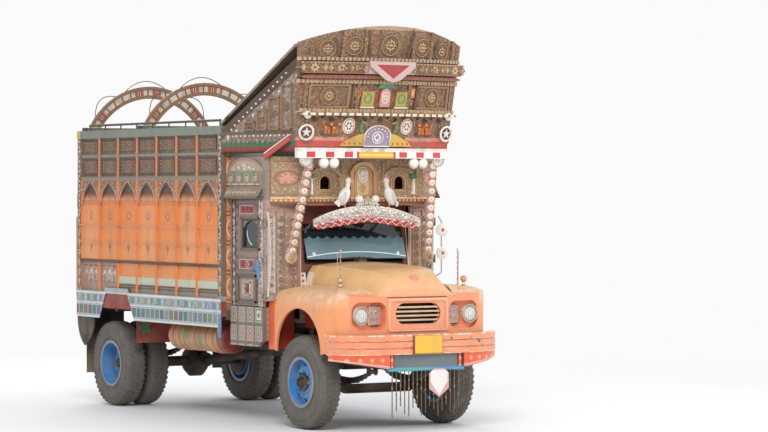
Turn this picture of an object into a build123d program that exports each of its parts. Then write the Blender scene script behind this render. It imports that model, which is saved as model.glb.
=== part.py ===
from build123d import *
import math
import os

# Bonneted two-axle truck with a carved timber body. Millimetres, +Z up.
# The front of the truck faces -Y and its right-hand side is -X.
# The origin is on the ground, at the middle of the overall length and width.

# Overall layout
wheelbase = 4242
front_overhang = 1055
rear_overhang = 838
body_width = 2440
front_axle_y = -(front_overhang + wheelbase + rear_overhang) / 2 + front_overhang
rear_axle_y = front_axle_y + wheelbase
front_end_y = front_axle_y - front_overhang
rear_end_y = rear_axle_y + rear_overhang

# Clearances
seat_gap = 0.3          # between pieces that rest on one another
shut_gap = 8            # round a door or lid
pin_gap = 0.05          # between a pin and its bore, in radius

# Wheels
tyre_radius = 509
tyre_width = 250
rim_radius = 258
rim_wall = 12
front_track = 1710
rear_track = 1760
twin_spacing = 310
hub_radius = 90
drum_radius = 195
drum_width = 100
hand_hole_radius = 26
running_gap = 6           # between turning and fixed brake parts

# Chassis
frame_top_z = 980
frame_depth = 220
frame_flange = 75
frame_plate = 8
frame_half_width = 430
frame_nose_y = front_axle_y - 800
frame_tail_y = rear_end_y - 110
front_member_y = frame_nose_y + 35
crossmember_depth = 120
crossmember_thickness = 60
tow_pin_y = rear_end_y - 48
tow_pin_radius = 16
tow_mouth = 60

# Front axle, knuckles and steering
kingpin_x = 680
kingpin_radius = 20
front_stub_radius = 30
front_stub_reach = 60     # past the wheel's middle plane
axle_beam_height = 100
axle_beam_width = 84
axle_drop = 90
knuckle_height = 200
knuckle_radius = 42
steering_arm = 170
arm_thickness = 24
arm_half_width = 15
tie_rod_radius = 17
tie_rod_z = tyre_radius - 66
ball_stud_radius = 10
fork_radius = 32
back_plate_thickness = 10

# Rear axle and springs
axle_tube_radius = 62
axle_tube_reach = 590
rear_stub_radius = 44
banjo_radius = 190
banjo_width = 240
leaf_thickness = 13
leaf_width = 72
leaf_count = 5
front_spring_length = 1100
rear_spring_length = 1300
front_spring_x = 392
rear_spring_x = 485
hanger_cheek = 12
spring_sag = 95
spring_eye_radius = 26

# Engine, drive line and tanks
engine_length = 830
engine_width = 560
engine_height = 780
engine_bottom_z = 640
gearbox_length = 520
gearbox_size = 340
radiator_width = 600
radiator_height = 530
radiator_thickness = 80
shaft_radius = 45
exhaust_radius = 30
tank_radius = 165
tank_length = 1330
tank_x = 900
tank_z = 905

# Load body
body_front_y = front_axle_y + 1340
body_rear_y = rear_end_y - 50
sleeper_height = 160
sleeper_width = 80
bearer_height = 120
bearer_width = 80
bearer_count = 9
# number of the bearer it hangs on, lower edge
guard_boards = ((5, 780), (8, 360))
floor_thickness = 45
bulkhead_depth = 70
bulkhead_rebate = 3
floor_bottom_z = frame_top_z + sleeper_height + bearer_height
floor_z = floor_bottom_z + floor_thickness
wall_top_z = 3310
top_beam_height = 95
wall_panel = 28
wall_frame = 60
post_width = 95
rib_width = 52
bay_count = 7
sill_height = 130
mid_rail_z = 1740
mid_rail_height = 40
spring_rail_z = 2730
spring_rail_height = 46
divider_rail_z = 3000
arch_spring_z = 2480
arch_top_z = 2690
fascia_thickness = 16
skirt_thickness = 14
skirt_top_z = 1375
skirt_bottom_z = 1050
cutout_top_z = 1355
cutout_top_length = 580
cutout_bottom_length = 930
tailgate_height = 960
header_z = 2950
wall_outer_x = body_width / 2 - skirt_thickness - seat_gap
bearer_half_length = wall_outer_x - wall_frame - seat_gap
cutout_ahead = 295
hinge_places = (-820, 0, 820)
hinge_width = 60
hinge_pin_radius = 9
hinge_y = rear_end_y - 24
hinge_z = floor_z - 25

# Hoops and hand rail over the load body
hoop_rise = 520
hoop_depth = 150
hoop_bar = 36
hoop_web = 10
hoop_half_span = 830
hoop_middle_x = -290
hoop_bar_height = 40
hoop_rear_inset = 160
hoop_spacing = 1450
hand_rail_z = 3372
hand_rail_radius = 14

# Cab
cab_half_width = 1100
cab_rear_y = body_front_y - 12
cab_wall = 45
door_front_y = front_axle_y + 590
door_rear_y = cab_rear_y - 24
door_bottom_z = 1312
door_top_z = 2478
# Sunk panels of a door: lowest height, highest height
door_panels = ((1345, 1660), (1690, 1850), (2320, 2430))
door_panel_sink = 7
door_panel_margin = 30
window_front_y = front_axle_y + 690
window_rear_y = front_axle_y + 1035
window_bottom_z = 1965
window_top_z = 2255
glass_thickness = 6
cab_floor_z = 1130
seat_base_height = 260
cab_floor_thickness = 40
cab_skirt_bottom_z = 865
cab_roof_z = 2960
cab_roof_thickness = 40
cab_front_half_width = 800
scuttle_z = 1795
cowl_rear_y = front_axle_y + 590
corner_front_y = front_axle_y + 430
corner_low_z = 1372
forehead_low_z = 2440
forehead_front_y = front_axle_y + 300
screen_bottom_y = front_axle_y + 400
screen_top_y = front_axle_y + 530
screen_bottom_z = 1830
screen_top_z = 2215
screen_half_width = 640
pillar_width = 70

door_pin_x = 1114
door_pin_y = door_front_y - 8
door_pin_radius = 6
door_hinge_heights = (1430, 1815, 2230)
steering_x = -420
steering_y = front_axle_y + 830
steering_z = 1790
steering_tilt = 38
steering_radius = 215
steering_hub_depth = 21

# Front end
nose_y = front_axle_y - 850
nose_half_width = 826
nose_bottom_z = 1040
nose_top_z = 1440
nose_wall = 40
wing_half_width = 1030
wing_inner_x = 640
wing_top_z = 1560
wing_bottom_z = 845
wing_wall = 22
wing_rear_y = front_axle_y + 590 - shut_gap
arch_radius = 478
arch_centre_y = front_axle_y - 55
arch_centre_z = 835
bonnet_rear_y = front_axle_y + 330
bonnet_pin_y = bonnet_rear_y + 4
bonnet_pin_z = scuttle_z + 20
bonnet_pin_radius = 5
bonnet_lug_radius = 9
bonnet_wall = 20
bonnet_edge_z = 1560
bonnet_rear_half = 636
bonnet_middle_half = 622
bonnet_middle_y = front_axle_y - 360
bonnet_front_half = 478
bonnet_front_y = front_axle_y - 820
bonnet_cut_z = 1380
bonnet_cut_run = 400
bonnet_foot = 40
# Shares of the bonnet's length, from the cowl to the nose, where its shape is set out
bonnet_shares = (0, 0.14, 0.3, 0.46, 0.62, 0.78, 0.9, 1)
bonnet_edge_slope = 30
bonnet_edge_dip = 78
bonnet_crest_slope = 60
bonnet_crest_dip = 200
bonnet_rear_plateau = 0.86     # share of the width under the low arch
bonnet_front_plateau = 0.62
bonnet_rear_swell = 22         # how far the sides bow outward
bonnet_front_swell = -12
nose_rear_y = front_axle_y - 762
wing_rear_panel_z = 1400
wing_bend_y = front_axle_y - 430
wing_corner_y = front_axle_y - 790
wing_bulge_y = front_axle_y - 640
wing_round_width = 240
wing_round_height = 290
wing_crown_drop = 12
recess_x = 598
recess_z = 1245
recess_width = 400
recess_height = 296
recess_front_y = nose_y - 20
recess_back_y = nose_y + 110
grille_middle_z = 1252
wing_lamp_x = 790
wing_lamp_y = front_axle_y - 540
wing_lamp_z = 1617
wing_lamp_foot_z = wing_top_z - 10
marker_foot_z = wing_top_z - 7.2
marker_height = 390
grille_half_width = 285
grille_bottom_z = 1150
grille_top_z = 1380
slat_count = 4
headlamp_x = 690
headlamp_z = 1250
headlamp_radius = 92
bumper_half_width = 1060
bumper_bottom_z = 840
bumper_top_z = 1050
bumper_sweep = 290
bar_z = 678
bar_half_width = 480

plate_thickness = 5
bumper_y = front_end_y + plate_thickness + seat_gap
bumper_thickness = 60
bumper_arm_x = 392
shield_x = 155
shield_top_z = 630

# Crown over the cab
crown_rear_z = wall_top_z
crown_rear_inset = 8        # from the body's widest line
crown_rear_half = body_width / 2 - crown_rear_inset
crown_foot_half = 965
crown_top_half = 1035
crown_foot_y = front_axle_y + 80
crown_foot_z = 3010
crown_foot_bow = 60
crown_top_bow = 190
crown_lean_reach = 180
crown_corner_z = 4185
crown_arch_rise = 190
crown_board = 45
# Rails of the crown front: lowest height, highest height, how far they stand proud
crown_rails = ((3010, 3050, 20), (3430, 3475, 34), (3745, 3790, 34), (3990, 4025, 30))
# Stiles of the crown front: lowest height, highest height, distances from the middle
crown_stiles = ((3475, 3745, (330, 930)), (4025, 4400, (310, 560, 900)))
# Carved shelves: lowest height, highest height, how far they stand proud, extra half width
crown_shelves = ((3400, 3428, 92, 30), (3795, 3835, 70, 20), (3850, 3975, 96, 50))
crown_side_stiles = (0, 400, 800, 1140)

# Forehead, visor, garlands and the rail under the crown
forehead_window_x = 480
visor_y = front_axle_y + 190
visor_half = 690
visor_low_z = 2200
visor_top_z = 2420
visor_arm_z = 2310
garland_discs = 11
garland_disc_radius = 52
garland_top = (800, front_axle_y + 116, 2860)
garland_low = (880, front_axle_y + 340, 1930)
half_disc_x = 850
crown_rail_height = 70
lamp_pair_x = 576


def block(x0, x1, y0, y1, z0, z1):
    """Box between two corners."""
    centre = ((x0 + x1) / 2, (y0 + y1) / 2, (z0 + z1) / 2)
    return Pos(*centre) * Box(abs(x1 - x0), abs(y1 - y0), abs(z1 - z0))


def outline(*points):
    """Face with straight sides."""
    return make_face(Polyline(*points, close=True))


def across(face, x0, x1):
    """Extrude a face drawn in (y, z) from x0 to x1."""
    return Pos(x0, 0, 0) * extrude(Plane.YZ * face, x1 - x0)


def along(face, y0, y1):
    """Extrude a face drawn in (x, z) from y0 to y1."""
    return Pos(0, y1, 0) * extrude(Plane.XZ * face, y1 - y0)


def upward(face, z0, z1):
    """Extrude a face drawn in (x, y) from z0 to z1."""
    return Pos(0, 0, z0) * extrude(face, z1 - z0)


def rod(start, end, radius):
    """Round bar between two points."""
    start = Vector(*start)
    end = Vector(*end)
    return Solid.make_cylinder(radius, (end - start).length, Plane(start, z_dir=end - start))


def mirrored(shape):
    """The same shape on the other side of the truck."""
    return mirror(shape, about=Plane.YZ)


def both_sides(shape):
    return [shape, mirrored(shape)]


def fused(shapes):
    first, *rest = shapes
    return first.fuse(*rest) if rest else first


def save(name, *shapes):
    solids = [solid for shape in shapes for solid in shape.solids()]
    whole = Compound(solids) if len(solids) > 1 else solids[0]
    export_step(whole, f"parts/{name}.step")


def spin_profile(points, x):
    """Turn a profile of (distance outward from x, radius) round the wheel's axis."""
    face = outline(*[(radius, outward) for outward, radius in points])
    return Pos(x, 0, 0) * (Rot(0, 90, 0) * revolve(Plane.XZ * face, Axis.Z))


def leaf_spring(x, y, length, seat_z):
    """Stack of curved leaves over an axle seat, with an eye at each end of the main leaf."""
    half = length / 2
    rise = spring_sag
    radius = (half ** 2 + rise ** 2) / (2 * rise)
    leaves = []
    for number in range(leaf_count):
        bottom = seat_z + number * leaf_thickness
        reach = half * (0.42 + 0.58 * number / (leaf_count - 1))
        lift = radius - math.sqrt(radius ** 2 - reach ** 2)
        lower = ThreePointArc((y - reach, bottom + lift), (y, bottom), (y + reach, bottom + lift))
        top = bottom + leaf_thickness
        upper = ThreePointArc((y + reach, top + lift), (y, top), (y - reach, top + lift))
        ends = Line(lower @ 1, upper @ 0) + Line(upper @ 1, lower @ 0)
        leaves.append(across(make_face(lower + upper + ends), x - leaf_width / 2, x + leaf_width / 2))
    eye_z = spring_eye_height(seat_z)
    for end in (y - half, y + half):
        leaves.append(rod((x - leaf_width / 2, end, eye_z), (x + leaf_width / 2, end, eye_z), spring_eye_radius))
    return fused(leaves)


def spring_eye_height(seat_z):
    return seat_z + (leaf_count - 0.5) * leaf_thickness + spring_sag


def frame_rail():
    """Left channel rail, open towards the middle of the truck."""
    low = frame_top_z - frame_depth
    inner = frame_half_width - frame_flange
    whole = block(inner, frame_half_width, frame_nose_y, frame_tail_y, low, frame_top_z)
    hollow = block(inner - 1, frame_half_width - frame_plate, frame_nose_y - 1, frame_tail_y + 1,
                   low + frame_plate, frame_top_z - frame_plate)
    return whole - hollow


def make_chassis():
    rails = both_sides(frame_rail())
    members = []
    places = (front_member_y, front_axle_y + 1150, front_axle_y + 2250,
              rear_axle_y - 560, rear_axle_y + 640, frame_tail_y - 40)
    web = frame_half_width - frame_plate
    mid = frame_top_z - frame_depth / 2
    for place in places:
        members.append(block(-web, web, place - crossmember_thickness / 2, place + crossmember_thickness / 2,
                             mid - crossmember_depth / 2, mid + crossmember_depth / 2))
    front_seat = tyre_radius + axle_beam_height / 2 - axle_drop + 12 + seat_gap
    rear_seat = tyre_radius + axle_tube_radius + 12 + seat_gap
    mounts = []
    for y in (cowl_rear_y + 80, cab_rear_y - cab_wall - 60):
        mounts += both_sides(block(frame_half_width - 90, frame_half_width, y - 35, y + 35,
                                   frame_top_z - 1, cab_floor_z - seat_gap))
    hangers = front_hangers(front_seat) + rear_hangers(rear_seat)
    save("chassis_frame", fused(rails + members + mounts + hangers + [tow_jaw()]))

    springs = []
    for x, y, length, seat in ((front_spring_x, front_axle_y, front_spring_length, front_seat),
                               (rear_spring_x, rear_axle_y, rear_spring_length, rear_seat)):
        springs += both_sides(leaf_spring(x, y, length, seat))
    save("leaf_springs", *springs)


def front_hangers(seat_z):
    """Pairs of ears under the rails that hold the front spring eyes."""
    low = frame_top_z - frame_depth
    eye_z = spring_eye_height(seat_z)
    inner = front_spring_x - leaf_width / 2 - seat_gap - hanger_cheek
    outer = front_spring_x + leaf_width / 2 + seat_gap
    parts = []
    for end in (front_axle_y - front_spring_length / 2, front_axle_y + front_spring_length / 2):
        ears = [block(inner, outer + hanger_cheek, end - 40, end + 40, low - 22, low + 1)]
        for face_x in (inner, outer):
            ears.append(block(face_x, face_x + hanger_cheek, end - 40, end + 40, eye_z, low - 21))
            ears.append(rod((face_x, end, eye_z), (face_x + hanger_cheek, end, eye_z), 40))
        parts += both_sides(fused(ears))
    return parts


def rear_hangers(seat_z):
    """Brackets on the rails' outer faces that hold the rear spring eyes."""
    eye_z = spring_eye_height(seat_z)
    root = frame_half_width - 1
    inner = rear_spring_x - leaf_width / 2 - seat_gap
    outer = rear_spring_x + leaf_width / 2 + seat_gap
    bridge_z = eye_z + spring_eye_radius + 8
    parts = []
    for end in (rear_axle_y - rear_spring_length / 2, rear_axle_y + rear_spring_length / 2):
        ears = [block(root, inner, end - 45, end + 45, eye_z, frame_top_z - 60),
                rod((root, end, eye_z), (inner, end, eye_z), 45),
                block(outer, outer + hanger_cheek, end - 45, end + 45, eye_z, bridge_z + 24),
                rod((outer, end, eye_z), (outer + hanger_cheek, end, eye_z), 45),
                block(inner - 1, outer + 1, end - 45, end + 45, bridge_z, bridge_z + 24)]
        parts += both_sides(fused(ears))
    return parts


def tow_jaw():
    """Towing jaw on the rear crossmember: two plates on a block, bored upright for the pin."""
    face = frame_tail_y - 40 + crossmember_thickness / 2 - 1
    mid = frame_top_z - frame_depth / 2
    jaw = block(-55, 55, face, tow_pin_y + 34, mid - 50, mid + 50)
    jaw -= block(-60, 60, tow_pin_y - 45, tow_pin_y + 40, mid - tow_mouth / 2, mid + tow_mouth / 2)
    return jaw - rod((0, tow_pin_y, mid - 60), (0, tow_pin_y, mid + 60), tow_pin_radius)


def make_front_axle():
    """I-section beam, dropped in the middle, with a fork end for each knuckle."""
    half = axle_beam_height / 2
    end_x = kingpin_x - knuckle_radius - 60
    mid_x = end_x - 170
    centre = tyre_radius
    low = centre - axle_drop
    face = outline((-end_x, centre - half), (-mid_x, low - half), (mid_x, low - half), (end_x, centre - half),
                   (end_x, centre + half), (mid_x, low + half), (-mid_x, low + half), (-end_x, centre + half))
    beam = along(face, front_axle_y - axle_beam_width / 2, front_axle_y + axle_beam_width / 2)
    web = 13
    groove = outline((-end_x, centre - half + 16), (-mid_x, low - half + 16), (mid_x, low - half + 16),
                     (end_x, centre - half + 16), (end_x, centre + half - 16), (mid_x, low + half - 16),
                     (-mid_x, low + half - 16), (-end_x, centre + half - 16))
    for start, end in ((web, axle_beam_width), (-axle_beam_width, -web)):
        beam -= along(groove, front_axle_y + start, front_axle_y + end)
    gap_half = knuckle_height / 2 + running_gap
    eye_half = gap_half + 34
    fork = block(end_x - 8, kingpin_x, front_axle_y - fork_radius, front_axle_y + fork_radius,
                 centre - eye_half, centre + eye_half)
    fork += rod((kingpin_x, front_axle_y, centre - eye_half), (kingpin_x, front_axle_y, centre + eye_half),
                fork_radius)
    fork -= block(kingpin_x - knuckle_radius - 16, kingpin_x + 60, front_axle_y - 60, front_axle_y + 60,
                  centre - gap_half, centre + gap_half)
    kingpin = rod((kingpin_x, front_axle_y, centre - eye_half + 5),
                  (kingpin_x, front_axle_y, centre + eye_half - 5),
                  kingpin_radius)
    pads = block(front_spring_x - leaf_width / 2, front_spring_x + leaf_width / 2,
                 front_axle_y - 60, front_axle_y + 60, low + half - 1, low + half + 12)
    end = fork + kingpin + pads
    axle = fused([beam, end, mirrored(end)])
    save("front_axle", axle)


def make_knuckle(name, side):
    """Kingpin boss, stub axle, brake back plate and the arm to the tie rod."""
    centre = tyre_radius
    boss = rod((kingpin_x, front_axle_y, centre - knuckle_height / 2),
               (kingpin_x, front_axle_y, centre + knuckle_height / 2), knuckle_radius)
    stub_end = front_track / 2 + front_stub_reach
    stub = rod((kingpin_x + 10, front_axle_y, centre), (stub_end, front_axle_y, centre), front_stub_radius)
    plate_x = kingpin_x + knuckle_radius - 2
    back_plate = rod((plate_x, front_axle_y, centre), (plate_x + back_plate_thickness, front_axle_y, centre),
                     drum_radius - 10)
    arm = block(kingpin_x - arm_half_width, kingpin_x + arm_half_width, front_axle_y,
                front_axle_y + steering_arm, tie_rod_z - arm_thickness / 2, tie_rod_z + arm_thickness / 2)
    arm += rod((kingpin_x, front_axle_y + steering_arm, tie_rod_z - arm_thickness / 2),
               (kingpin_x, front_axle_y + steering_arm, tie_rod_z + arm_thickness / 2), 24)
    knuckle = fused([boss, stub, back_plate, arm])
    knuckle -= rod((kingpin_x, front_axle_y, 0), (kingpin_x, front_axle_y, 2 * centre), kingpin_radius + pin_gap)
    knuckle -= rod((kingpin_x, front_axle_y + steering_arm, 0), (kingpin_x, front_axle_y + steering_arm, centre),
                   ball_stud_radius + pin_gap)
    save(name, knuckle if side > 0 else mirrored(knuckle))


def make_tie_rod():
    """Rod between the two steering arms, with a ball joint under each."""
    y = front_axle_y + steering_arm
    low_z = tie_rod_z - arm_thickness / 2 - 4
    rod_z = low_z - 28
    bar = rod((-kingpin_x, y, rod_z), (kingpin_x, y, rod_z), tie_rod_radius)
    ends = []
    for x in (-kingpin_x, kingpin_x):
        ends.append(rod((x, y, rod_z - 26), (x, y, low_z), 27))
        ends.append(rod((x, y, low_z - 1), (x, y, tie_rod_z + arm_thickness / 2 + 14), ball_stud_radius))
    save("tie_rod", fused([bar] + ends))


def make_rear_axle():
    reach = axle_tube_reach
    tube = rod((-reach, rear_axle_y, tyre_radius), (reach, rear_axle_y, tyre_radius), axle_tube_radius)
    bowl = rod((-banjo_width / 2, rear_axle_y, tyre_radius), (banjo_width / 2, rear_axle_y, tyre_radius),
               banjo_radius)
    bowl = chamfer(bowl.edges(), 55)
    nose = rod((0, rear_axle_y, tyre_radius), (0, rear_axle_y - banjo_radius - 120, tyre_radius + 25), 85)
    pads = []
    for x in (-rear_spring_x, rear_spring_x):
        pads.append(block(x - leaf_width / 2, x + leaf_width / 2, rear_axle_y - 70, rear_axle_y + 70,
                          tyre_radius, tyre_radius + axle_tube_radius + 12))
    stubs = [rod((-rear_track / 2, rear_axle_y, tyre_radius), (rear_track / 2, rear_axle_y, tyre_radius),
                 rear_stub_radius)]
    for x in (-reach, reach - back_plate_thickness):
        stubs.append(rod((x, rear_axle_y, tyre_radius), (x + back_plate_thickness, rear_axle_y, tyre_radius),
                         drum_radius - 10))
    save("rear_axle", fused([tube, bowl, nose] + pads + stubs))


def make_drive_line():
    engine_front = front_axle_y - 420
    engine_rear = engine_front + engine_length
    top = engine_bottom_z + engine_height
    sump = 120
    half = engine_width / 2
    face = outline((-half, top - 160), (-half, engine_bottom_z + sump), (-150, engine_bottom_z),
                   (150, engine_bottom_z), (half, engine_bottom_z + sump), (half, top - 160),
                   (half - 120, top), (-half + 120, top))
    engine = along(face, engine_front, engine_rear)
    box_z = engine_bottom_z + 130
    box_half = gearbox_size / 2
    engine += block(-box_half, box_half, engine_rear - 1, engine_rear + gearbox_length,
                    box_z - box_half, box_z + box_half)
    save("engine_block", engine)

    radiator_y = nose_y + nose_wall + 90
    core_z = frame_top_z + 20
    half = radiator_width / 2
    radiator = block(-half, half, radiator_y, radiator_y + radiator_thickness, core_z, core_z + radiator_height)
    radiator -= block(-half + 45, half - 45, radiator_y - 1, radiator_y + 14, core_z + 60,
                      core_z + radiator_height - 90)
    radiator += block(-half, half, radiator_y, radiator_y + radiator_thickness, frame_top_z - 60, core_z)
    radiator += block(-frame_half_width + frame_flange + 1, frame_half_width - frame_flange - 1,
                      front_member_y + crossmember_thickness / 2 + seat_gap, radiator_y + radiator_thickness,
                      frame_top_z - 120, frame_top_z - 60)
    save("radiator", radiator)

    start = (0, engine_rear + gearbox_length + 4, box_z - 30)
    end = (0, rear_axle_y - banjo_radius - 126, tyre_radius + 25)
    middle = (0, front_axle_y + 2250, 715)
    shaft = rod(start, middle, shaft_radius) + rod(middle, end, shaft_radius)
    shaft += Pos(*middle) * Sphere(shaft_radius + 14)
    shaft += rod(middle, (0, middle[1], frame_top_z - frame_depth / 2 - crossmember_depth / 2 - seat_gap), 20)
    save("prop_shaft", shaft)

    exhaust_x = 225
    exhaust_z = frame_top_z - frame_depth - 40
    pipe = rod((exhaust_x, engine_rear + seat_gap, exhaust_z), (exhaust_x, rear_axle_y - 760, exhaust_z),
               exhaust_radius)
    silencer = rod((exhaust_x, front_axle_y + 1300, exhaust_z), (exhaust_x, front_axle_y + 2050, exhaust_z), 80)
    hangers = []
    for place in (front_axle_y + 1150, front_axle_y + 2250):
        hangers.append(block(exhaust_x - 12, exhaust_x + 12, place - 12, place + 12,
                             exhaust_z, frame_top_z - frame_depth / 2 - crossmember_depth / 2 - seat_gap))
    save("exhaust", fused([pipe, silencer] + hangers))


def make_tanks():
    """Round tank on two brackets at the right, plain battery and tool box at the left."""
    front = body_front_y + 250
    rear = front + tank_length
    tank = rod((-tank_x, front, tank_z), (-tank_x, rear, tank_z), tank_radius)
    tank = fillet(tank.edges(), 30)
    brackets = []
    for place in (front + 260, rear - 260):
        arm = block(-tank_x + 60, -frame_half_width - seat_gap, place - 30, place + 30,
                    tank_z - tank_radius + 60, tank_z - tank_radius + 130)
        post = block(-frame_half_width - 60, -frame_half_width - seat_gap, place - 30, place + 30,
                     tank_z - tank_radius + 60, frame_top_z - 20)
        strap = (rod((-tank_x, place - 25, tank_z), (-tank_x, place + 25, tank_z), tank_radius + 8))
        brackets += [arm, post, strap]
    box = block(frame_half_width + 60, 1060, front + 200, front + 900, 780, 1040)
    box = fillet(box.edges().filter_by(Axis.Y), 25)
    for place in (front + 320, front + 780):
        box += block(frame_half_width + seat_gap, frame_half_width + 70, place - 30, place + 30,
                     800, frame_top_z - 20)
    save("side_tanks", fused([tank] + brackets), box)


def make_wheel(name, side, centres, disc_face, hub_end, stub_radius, stub_end, drum_inner):
    """Tyres and rims of one wheel or pair of twins, with hub and brake drum."""
    half = tyre_width / 2
    seat = rim_radius + seat_gap
    bead = half - 25
    flange = rim_radius + 22
    tyres = []
    rims = []
    for centre in centres:
        tyre = [(-bead, seat), (-bead, flange + 4), (-half + 3, flange + 50), (-half, tyre_radius - 110),
                (-half + 8, tyre_radius - 38), (-half + 32, tyre_radius - 5), (-half + 70, tyre_radius)]
        tyre += [(-out, radius) for out, radius in reversed(tyre)]
        tyres.append(spin_profile(tyre, centre))
        inner = rim_radius - rim_wall
        rim = [(-bead - 12, inner), (-bead - 12, flange), (-bead - 3, flange), (-bead - 3, rim_radius),
               (bead + 3, rim_radius), (bead + 3, flange), (bead + 12, flange), (bead + 12, inner)]
        rims.append(spin_profile(rim, centre))
    inner = rim_radius - rim_wall + 3
    discs = []
    for foot, mouth in disc_face:
        direction = 1 if mouth > foot else -1
        thick = 13 * direction
        profile = [(mouth, inner), (mouth + thick, inner), (foot + thick, inner * 0.66),
                   (foot + thick, hub_radius - 6),
                   (foot, hub_radius - 6), (foot, inner * 0.66 - 4)]
        disc = spin_profile([(out, radius) for out, radius in profile], 0)
        hole_centre = inner * 0.8
        holes = [Pos((foot + mouth) / 2, 0, 0) * Rot(angle, 0, 0) * Pos(0, hole_centre, 0)
                 * Rot(0, 90, 0) * Cylinder(hand_hole_radius, 200) for angle in range(0, 360, 45)]
        discs.append(disc.cut(*holes))
    hub = spin_profile([(drum_inner, 0.001), (drum_inner, drum_radius), (drum_inner + drum_width, drum_radius),
                        (drum_inner + drum_width + 12, hub_radius), (hub_end - 40, hub_radius),
                        (hub_end - 34, 62), (hub_end, 54), (hub_end, 0.001)], 0)
    bore = rod((drum_inner - 1, 0, 0), (stub_end + 2, 0, 0), stub_radius + pin_gap)
    rim = fused(rims + discs + [hub]) - bore
    nuts = [Rot(angle, 0, 0) * Pos(disc_face[-1][0] + 12, 0, hub_radius + 36) * Rot(0, 90, 0) * Cylinder(14, 26)
            for angle in range(0, 360, 45)]
    rim = rim.fuse(*nuts)
    wheel_y = front_axle_y if name.startswith("front") else rear_axle_y
    place = Pos(0, wheel_y, tyre_radius)
    tyre_name = f"tyre_{name}" if len(centres) == 1 else f"tyres_{name}"
    rim_name = f"rim_{name}" if len(centres) == 1 else f"rims_{name}"
    placed_tyres = [place * tyre for tyre in tyres]
    placed_rim = place * rim
    if side < 0:
        placed_tyres = [mirrored(tyre) for tyre in placed_tyres]
        placed_rim = mirrored(placed_rim)
    save(tyre_name, *placed_tyres)
    save(rim_name, placed_rim)


def make_wheels():
    front_centre = front_track / 2
    front_drum = kingpin_x + knuckle_radius - 2 + back_plate_thickness + running_gap
    rear_middle = rear_track / 2
    rear_drum = axle_tube_reach + running_gap
    twins = (rear_middle - twin_spacing / 2, rear_middle + twin_spacing / 2)
    for side, word in ((-1, "right"), (1, "left")):
        make_wheel(f"front_{word}", side, (front_centre,), ((front_centre + 62, front_centre + 20),),
                   front_centre + 128, front_stub_radius, front_centre + front_stub_reach, front_drum)
        dishes = ((rear_middle - 1, rear_middle - 70), (rear_middle, rear_middle + 70))
        make_wheel(f"rear_{word}", side, twins, dishes,
                   rear_middle + 170, rear_stub_radius, rear_middle, rear_drum)


def bearer_middle(number):
    """Place of a cross bearer, counted from the front."""
    step = (body_rear_y - body_front_y - bearer_width) / (bearer_count - 1)
    return body_front_y + bearer_width / 2 + number * step


def make_bed_floor():
    """Two sleepers on the rails, cross bearers on them, and the floor boards on top."""
    rail_middle = frame_half_width - frame_flange / 2
    sleeper = block(rail_middle - sleeper_width / 2, rail_middle + sleeper_width / 2,
                    body_front_y, body_rear_y, frame_top_z + seat_gap, frame_top_z + sleeper_height)
    bearer_z = frame_top_z + sleeper_height
    half = bearer_half_length
    bearers = []
    for number in range(bearer_count):
        middle = bearer_middle(number)
        bearers.append(block(-half, half, middle - bearer_width / 2, middle + bearer_width / 2,
                             bearer_z - 1, bearer_z + bearer_height))
    boards = block(-half, half, body_front_y, body_rear_y, floor_bottom_z - 1, floor_z)
    boards -= block(-half - 1, half + 1, body_front_y - 1, body_front_y + bulkhead_depth + seat_gap,
                    floor_z - bulkhead_rebate, floor_z + 1)
    lugs = []
    for x in hinge_places:
        for start in (x - hinge_width, x + hinge_width / 2):
            lug = block(start, start + hinge_width / 2, body_rear_y - 10, hinge_y, hinge_z - 14, hinge_z + 14)
            lugs.append(lug)
            lugs.append(rod((start, hinge_y, hinge_z), (start + hinge_width / 2, hinge_y, hinge_z), 18))
        lugs.append(rod((x - hinge_width + 1, hinge_y, hinge_z), (x + hinge_width - 1, hinge_y, hinge_z),
                        hinge_pin_radius))
    save("bed_floor", fused([sleeper, mirrored(sleeper), boards] + bearers + lugs))


def pointed_arch(half_width, foot, spring, top):
    """Pointed arch face in (y, z), its middle at y = 0."""
    bulge = (half_width * 0.78, spring + (top - spring) * 0.52)
    left = ThreePointArc((-half_width, spring), (-bulge[0], bulge[1]), (0, top))
    right = ThreePointArc((0, top), bulge, (half_width, spring))
    rest = Polyline((half_width, spring), (half_width, foot), (-half_width, foot), (-half_width, spring))
    return make_face(left + right + rest)


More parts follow.
